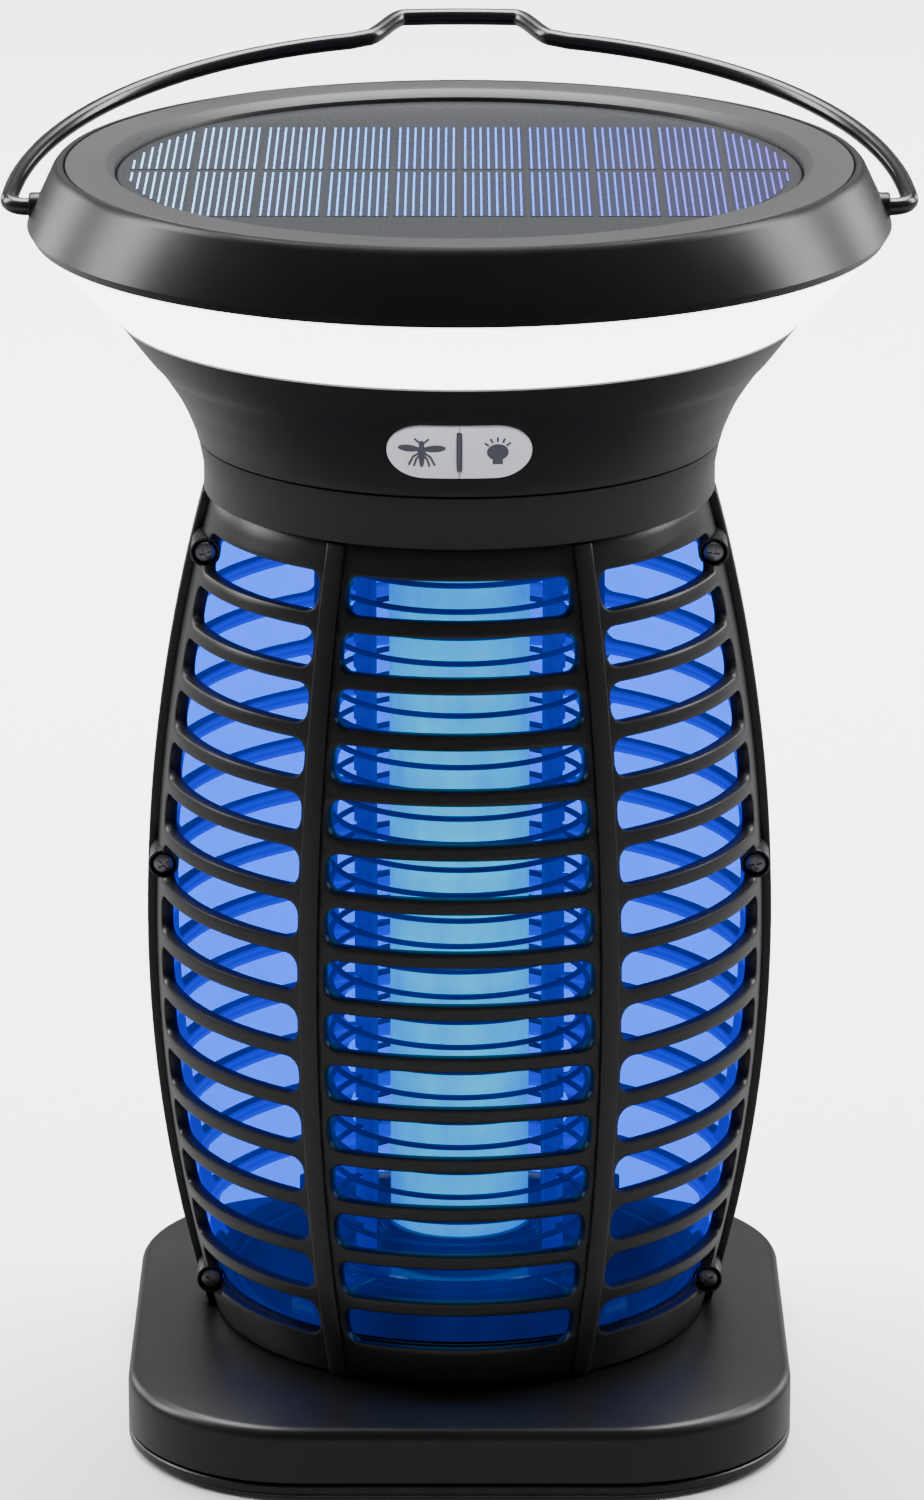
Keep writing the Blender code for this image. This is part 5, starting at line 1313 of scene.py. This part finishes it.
def make_diffuser():
    bm = bmesh.new()
    foot = FLARE[-1].x
    profile = [
        (DIFFUSER_RADIUS - DIFFUSER_WALL, DIFFUSER_TOP), (DIFFUSER_RADIUS, DIFFUSER_TOP),
        (foot, DIFFUSER_BOTTOM), (foot - DIFFUSER_WALL, DIFFUSER_BOTTOM),
    ]
    turn(bm, profile)
    soften(bm, 0.3 * MM, 2, 40.0)
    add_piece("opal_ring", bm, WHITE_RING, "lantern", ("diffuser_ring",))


def make_cap():
    bm = bmesh.new()
    shelf_top = CAP_TOP - 3.1 * MM
    shelf = shelf_top - 1.7 * MM
    wall = 2.4 * MM

    def skirt(z):
        return CAP_RADIUS + (CAP_RIM - CAP_RADIUS) * (z - CAP_BOTTOM) / (CAP_TOP - CAP_BOTTOM)

    profile = [
        (CAP_SEAM + 0.25 * MM, CAP_TOP), (CAP_RIM - 0.9 * MM, CAP_TOP),
        (CAP_RIM - 0.4 * MM, CAP_TOP - 0.1 * MM), (CAP_RIM - 0.02 * MM, CAP_TOP - 0.45 * MM),
        (skirt(CAP_TOP - 1.2 * MM), CAP_TOP - 1.2 * MM),
        (skirt(CAP_BOTTOM + 0.8 * MM), CAP_BOTTOM + 0.8 * MM),
        (CAP_RADIUS - 0.12 * MM, CAP_BOTTOM + 0.2 * MM),
        (CAP_RADIUS - 0.5 * MM, CAP_BOTTOM - 0.4 * MM), (CAP_RADIUS - 1.2 * MM, CAP_LIP),
        (CAP_RADIUS - 2.6 * MM, CAP_LIP), (CAP_RADIUS - wall, CAP_BOTTOM),
        (skirt(shelf) - wall, shelf), (CAP_SEAM - 3.8 * MM, shelf),
        (CAP_SEAM - 3.8 * MM, shelf_top), (CAP_SEAM, shelf_top), (CAP_SEAM, CAP_TOP - 0.25 * MM),
    ]
    turn(bm, profile, 2 * STEPS)
    inner = skirt(BAIL_PIVOT) - wall + 0.8 * MM
    for side in (-1.0, 1.0):
        boss = bmesh.new()
        outline = [
            (2.0 * MM, inner), (2.9 * MM, inner), (2.9 * MM, BOSS_REACH - 0.5 * MM),
            (2.7 * MM, BOSS_REACH - 0.1 * MM), (2.4 * MM, BOSS_REACH), (2.0 * MM, BOSS_REACH),
        ]
        turn(boss, outline, 40)
        upright = Matrix.Rotation(side * math.pi / 2.0, 3, "Y")
        bmesh.ops.rotate(boss, verts=boss.verts, matrix=upright)
        shift(boss, (0.0, 0.0, BAIL_PIVOT))
        bmesh.ops.recalc_face_normals(boss, faces=boss.faces)
        merge(bm, boss)
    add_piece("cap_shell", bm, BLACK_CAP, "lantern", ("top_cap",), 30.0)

    bm = bmesh.new()
    outer = CAP_SEAM - 0.3 * MM
    seat = PANEL_BOTTOM - 0.3 * MM
    under = seat - 1.4 * MM
    step = CAP_SEAM - 4.1 * MM
    profile = [
        (FRAME_BEVEL + 0.2 * MM, CAP_TOP), (outer - 0.25 * MM, CAP_TOP),
        (outer, CAP_TOP - 0.25 * MM),
        (outer, CAP_TOP - 2.8 * MM), (step, CAP_TOP - 2.8 * MM), (step, under),
        (PANEL_RADIUS - 6.5 * MM, under), (PANEL_RADIUS - 6.5 * MM, seat),
        (PANEL_RADIUS + 0.3 * MM, seat), (PANEL_RADIUS + 0.3 * MM, PANEL_TOP - 0.1 * MM),
        (PANEL_RADIUS + 0.5 * MM, PANEL_TOP + 0.6 * MM),
        (FRAME_BEVEL - 0.3 * MM, CAP_TOP - 0.2 * MM),
    ]
    turn(bm, profile, 2 * STEPS)
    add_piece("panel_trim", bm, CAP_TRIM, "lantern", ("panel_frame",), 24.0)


def make_solar_panel():
    bm = bmesh.new()
    profile = [
        (0.0, PANEL_BOTTOM), (PANEL_RADIUS, PANEL_BOTTOM), (PANEL_RADIUS, PANEL_TOP - 0.45 * MM),
        (PANEL_RADIUS - 0.3 * MM, PANEL_TOP - 0.15 * MM), (0.0, PANEL_TOP - 0.15 * MM),
    ]
    turn(bm, profile, STEPS, closed=False)
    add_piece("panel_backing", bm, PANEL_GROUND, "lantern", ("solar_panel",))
    columns, pitch, gap = 10, 13.0 * MM, 0.9 * MM
    edge, near, far = 64.6 * MM, 1.4 * MM, 40.8 * MM
    fingers, finger_pitch, finger_width = 8, 1.53 * MM, 0.36 * MM
    cells = bmesh.new()
    lines = bmesh.new()
    for column in range(columns):
        middle = (column - (columns - 1) / 2.0) * pitch
        for row in (-1.0, 1.0):
            made = bmesh.ops.create_grid(cells, x_segments=8, y_segments=1, size=0.5)["verts"]
            for vert in made:
                x = middle + vert.co.x * (pitch - gap)
                end = min(far, math.sqrt(max(0.0, edge * edge - x * x)))
                y = near if vert.co.y * row < 0.0 else max(end, near + 0.2 * MM)
                vert.co = (x, row * y, PANEL_TOP - 0.13 * MM)
            for finger in range(fingers):
                x = middle + (finger - (fingers - 1) / 2.0) * finger_pitch
                reach = math.sqrt(max(0.0, edge * edge - x * x)) - 0.3 * MM
                end = min(far - 0.3 * MM, reach)
                length = end - near - 0.3 * MM
                if length < 1.0 * MM:
                    continue
                size = (finger_width, length, 0.05 * MM)
                centre = (x, row * (near + 0.3 * MM + length / 2.0), PANEL_TOP - 0.07 * MM)
                block(lines, size, 0.0, Matrix.Translation(centre))
    made = bmesh.ops.extrude_face_region(cells, geom=cells.faces[:])
    raised = [item for item in made["geom"] if isinstance(item, bmesh.types.BMVert)]
    bmesh.ops.translate(cells, verts=raised, vec=(0.0, 0.0, 0.05 * MM))
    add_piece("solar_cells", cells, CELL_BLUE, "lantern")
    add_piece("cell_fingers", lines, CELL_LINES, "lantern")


def make_bail():
    """The wire handle: two turned-in ends, a long bow and a raised grip in the middle."""
    side = [(CAP_RADIUS - 5.1 * MM, 0.0), (BAIL_RADIUS - BAIL_BEND - 1.2 * MM, 0.0)]
    bend = BAIL_RADIUS - BAIL_BEND
    for step in range(9):
        angle = (-90.0 + 90.0 * step / 8) * DEG
        side.append((bend + BAIL_BEND * math.cos(angle), BAIL_BEND + BAIL_BEND * math.sin(angle)))
    first = math.asin(2.0 * BAIL_BEND / BAIL_RADIUS)
    last = math.acos(22.5 * MM / BAIL_RADIUS)
    for step in range(31):
        angle = first + (last - first) * step / 30
        side.append((BAIL_RADIUS * math.cos(angle), BAIL_RADIUS * math.sin(angle)))
    low = math.sqrt(BAIL_RADIUS ** 2 - (19.5 * MM) ** 2) + 0.9 * MM
    for step in range(11):
        share = step / 10
        ease = share * share * (3.0 - 2.0 * share)
        side.append((19.5 * MM - 8.0 * MM * share, low + (BAIL_HUMP - low) * ease))
    side += [(8.0 * MM, BAIL_HUMP + 0.2 * MM), (4.0 * MM, BAIL_HUMP + 0.35 * MM)]
    route = [(-x, y) for x, y in side] + [(0.0, BAIL_HUMP + 0.4 * MM)]
    route += [(x, y) for x, y in reversed(side)]
    curve = bpy.data.curves.new("bail_wire", "CURVE")
    curve.dimensions = "3D"
    curve.bevel_depth = BAIL_WIRE
    curve.bevel_resolution = 5
    curve.use_fill_caps = True
    spline = curve.splines.new("POLY")
    spline.points.add(len(route) - 1)
    for point, (x, y) in zip(spline.points, route):
        point.co = (x, y, 0.0, 1.0)
    bm = shape_of(curve)
    bmesh.ops.remove_doubles(bm, verts=bm.verts, dist=1e-7)
    place = Matrix.Translation((0.0, 0.0, BAIL_PIVOT)) @ Matrix.Rotation(BAIL_LEAN, 4, "X")
    bmesh.ops.transform(bm, matrix=place, verts=bm.verts)
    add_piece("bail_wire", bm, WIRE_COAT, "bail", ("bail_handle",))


def finish_hidden_parts():
    """Finishes for the plain inner parts that keep their own shape."""
    finishes = {
        "neck_floor": CHIP_BLACK, "reflector_ring": REFLECTOR_WHITE, "cap_floor": CHIP_BLACK,
        "battery_cell_1": CELL_WRAP, "battery_cell_2": CELL_WRAP, "battery_holder": CHIP_BLACK,
        "main_board": GREEN_BOARD, "switch_board": GREEN_BOARD, "hv_transformer": COIL_TAPE,
        "hv_capacitor": FILM_RED, "control_chip": CHIP_BLACK, "mosquito_switch": CHIP_BLACK,
        "lamp_switch": CHIP_BLACK, "charging_port": PORT_METAL, "uv_led_board": LAMP_BOARD,
        "white_led_board": LAMP_BOARD,
    }
    for node, finish in finishes.items():
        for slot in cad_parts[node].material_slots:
            slot.material = finish


# ---------------------------------------------------------------- the lantern

make_cage_half("cage_front_wall", "cage_front", -1)
make_cage_half("cage_back_wall", "cage_back", 1)
make_glow_skins()
for number in range(1, len(CAGE_SCREWS) + 1):
    node = f"cage_screw_{number}"
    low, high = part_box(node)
    middle = (low + high) / 2.0
    where = (middle.x, low.y + 0.75 * MM, middle.z)
    make_screw(number, node, where, (0, 1, 0), "lantern")
for number in range(1, 5):
    node = f"base_screw_{number}"
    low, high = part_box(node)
    middle = (low + high) / 2.0
    where = (middle.x, middle.y, low.z + 0.75 * MM)
    make_screw(number, node, where, (0, 0, 1), "base")
make_base()
make_bottom_plate()
make_feet()
make_grid()
make_combs()
make_holders()
make_lamp()
make_collar()
make_neck()
make_keys()
make_port_cover()
make_diffuser()
make_cap()
make_solar_panel()
make_bail()
finish_hidden_parts()


# ---------------------------------------------------------------- studio

def make_floor():
    bm = bmesh.new()
    bmesh.ops.create_grid(bm, x_segments=1, y_segments=1, size=6.0)
    mesh = bpy.data.meshes.new("floor")
    bm.to_mesh(mesh)
    bm.free()
    finish = Finish("pale floor", (0.86, 0.86, 0.87), 0.75, specular_ior_level=0.2)
    finish.feed("Roughness", finish.noise(0.05) * 0.1 + 0.7)
    mesh.materials.append(finish.material)
    floor = bpy.data.objects.new("floor", mesh)
    bpy.context.scene.collection.objects.link(floor)
    floor.visible_glossy = False


def add_softbox(name, where, target, size, power, spread=180.0):
    light = bpy.data.lights.new(name, "AREA")
    light.shape = "RECTANGLE"
    light.size, light.size_y = size
    light.energy = power
    light.spread = spread * DEG
    item = bpy.data.objects.new(name, light)
    item.location = where
    item.rotation_euler = (Vector(target) - Vector(where)).to_track_quat("-Z", "Y").to_euler()
    bpy.context.scene.collection.objects.link(item)


def make_studio():
    make_floor()
    world = bpy.data.worlds.new("studio")
    world.use_nodes = True
    nodes, links = world.node_tree.nodes, world.node_tree.links
    where = nodes.new("ShaderNodeTexCoord")
    split = nodes.new("ShaderNodeSeparateXYZ")
    spread = nodes.new("ShaderNodeMapRange")
    ramp = nodes.new("ShaderNodeValToRGB").color_ramp
    stops = ((0.0, 0.10), (0.10, 0.12), (0.22, 0.80), (0.40, 0.85), (0.49, 0.13), (1.0, 0.11))
    while len(ramp.elements) < len(stops):
        ramp.elements.new(1.0)
    for stop, (place, level) in zip(ramp.elements, stops):
        stop.position = place
        stop.color = (level, level, level * 1.03, 1.0)
    spread.inputs["From Min"].default_value = -1.0
    links.new(where.outputs["Generated"], split.inputs[0])
    links.new(split.outputs["Z"], spread.inputs["Value"])
    links.new(spread.outputs[0], nodes["Color Ramp"].inputs[0])
    links.new(nodes["Color Ramp"].outputs[0], nodes["Background"].inputs["Color"])
    bpy.context.scene.world = world
    add_softbox("overhead", (0.0, 0.8, 1.9), (0.0, 0.8, 0.0), (2.2, 1.5), 105.0, 100.0)
    add_softbox("backdrop", (0.0, 2.9, 1.1), (0.0, 0.0, 0.2), (2.6, 0.9), 3.0)
    for side in (-1.0, 1.0):
        add_softbox("side strip", (side * 1.1, 0.30, 0.80), (0.0, 0.0, 0.2), (0.34, 0.9), 18.0)
        add_softbox("rear strip", (side * 1.5, 1.6, 0.6), (0.0, 0.0, 0.1), (0.6, 0.8), 9.0)
    camera = bpy.data.cameras.new("camera")
    camera.lens = 167.9
    camera.sensor_width = 36.0
    item = bpy.data.objects.new("camera", camera)
    item.location = (0.0005, -1.3409, 0.5436)
    item.rotation_euler = ((90.0 - 16.97) * DEG, 0.0, 0.0)
    bpy.context.scene.collection.objects.link(item)
    bpy.context.scene.camera = item


make_studio()
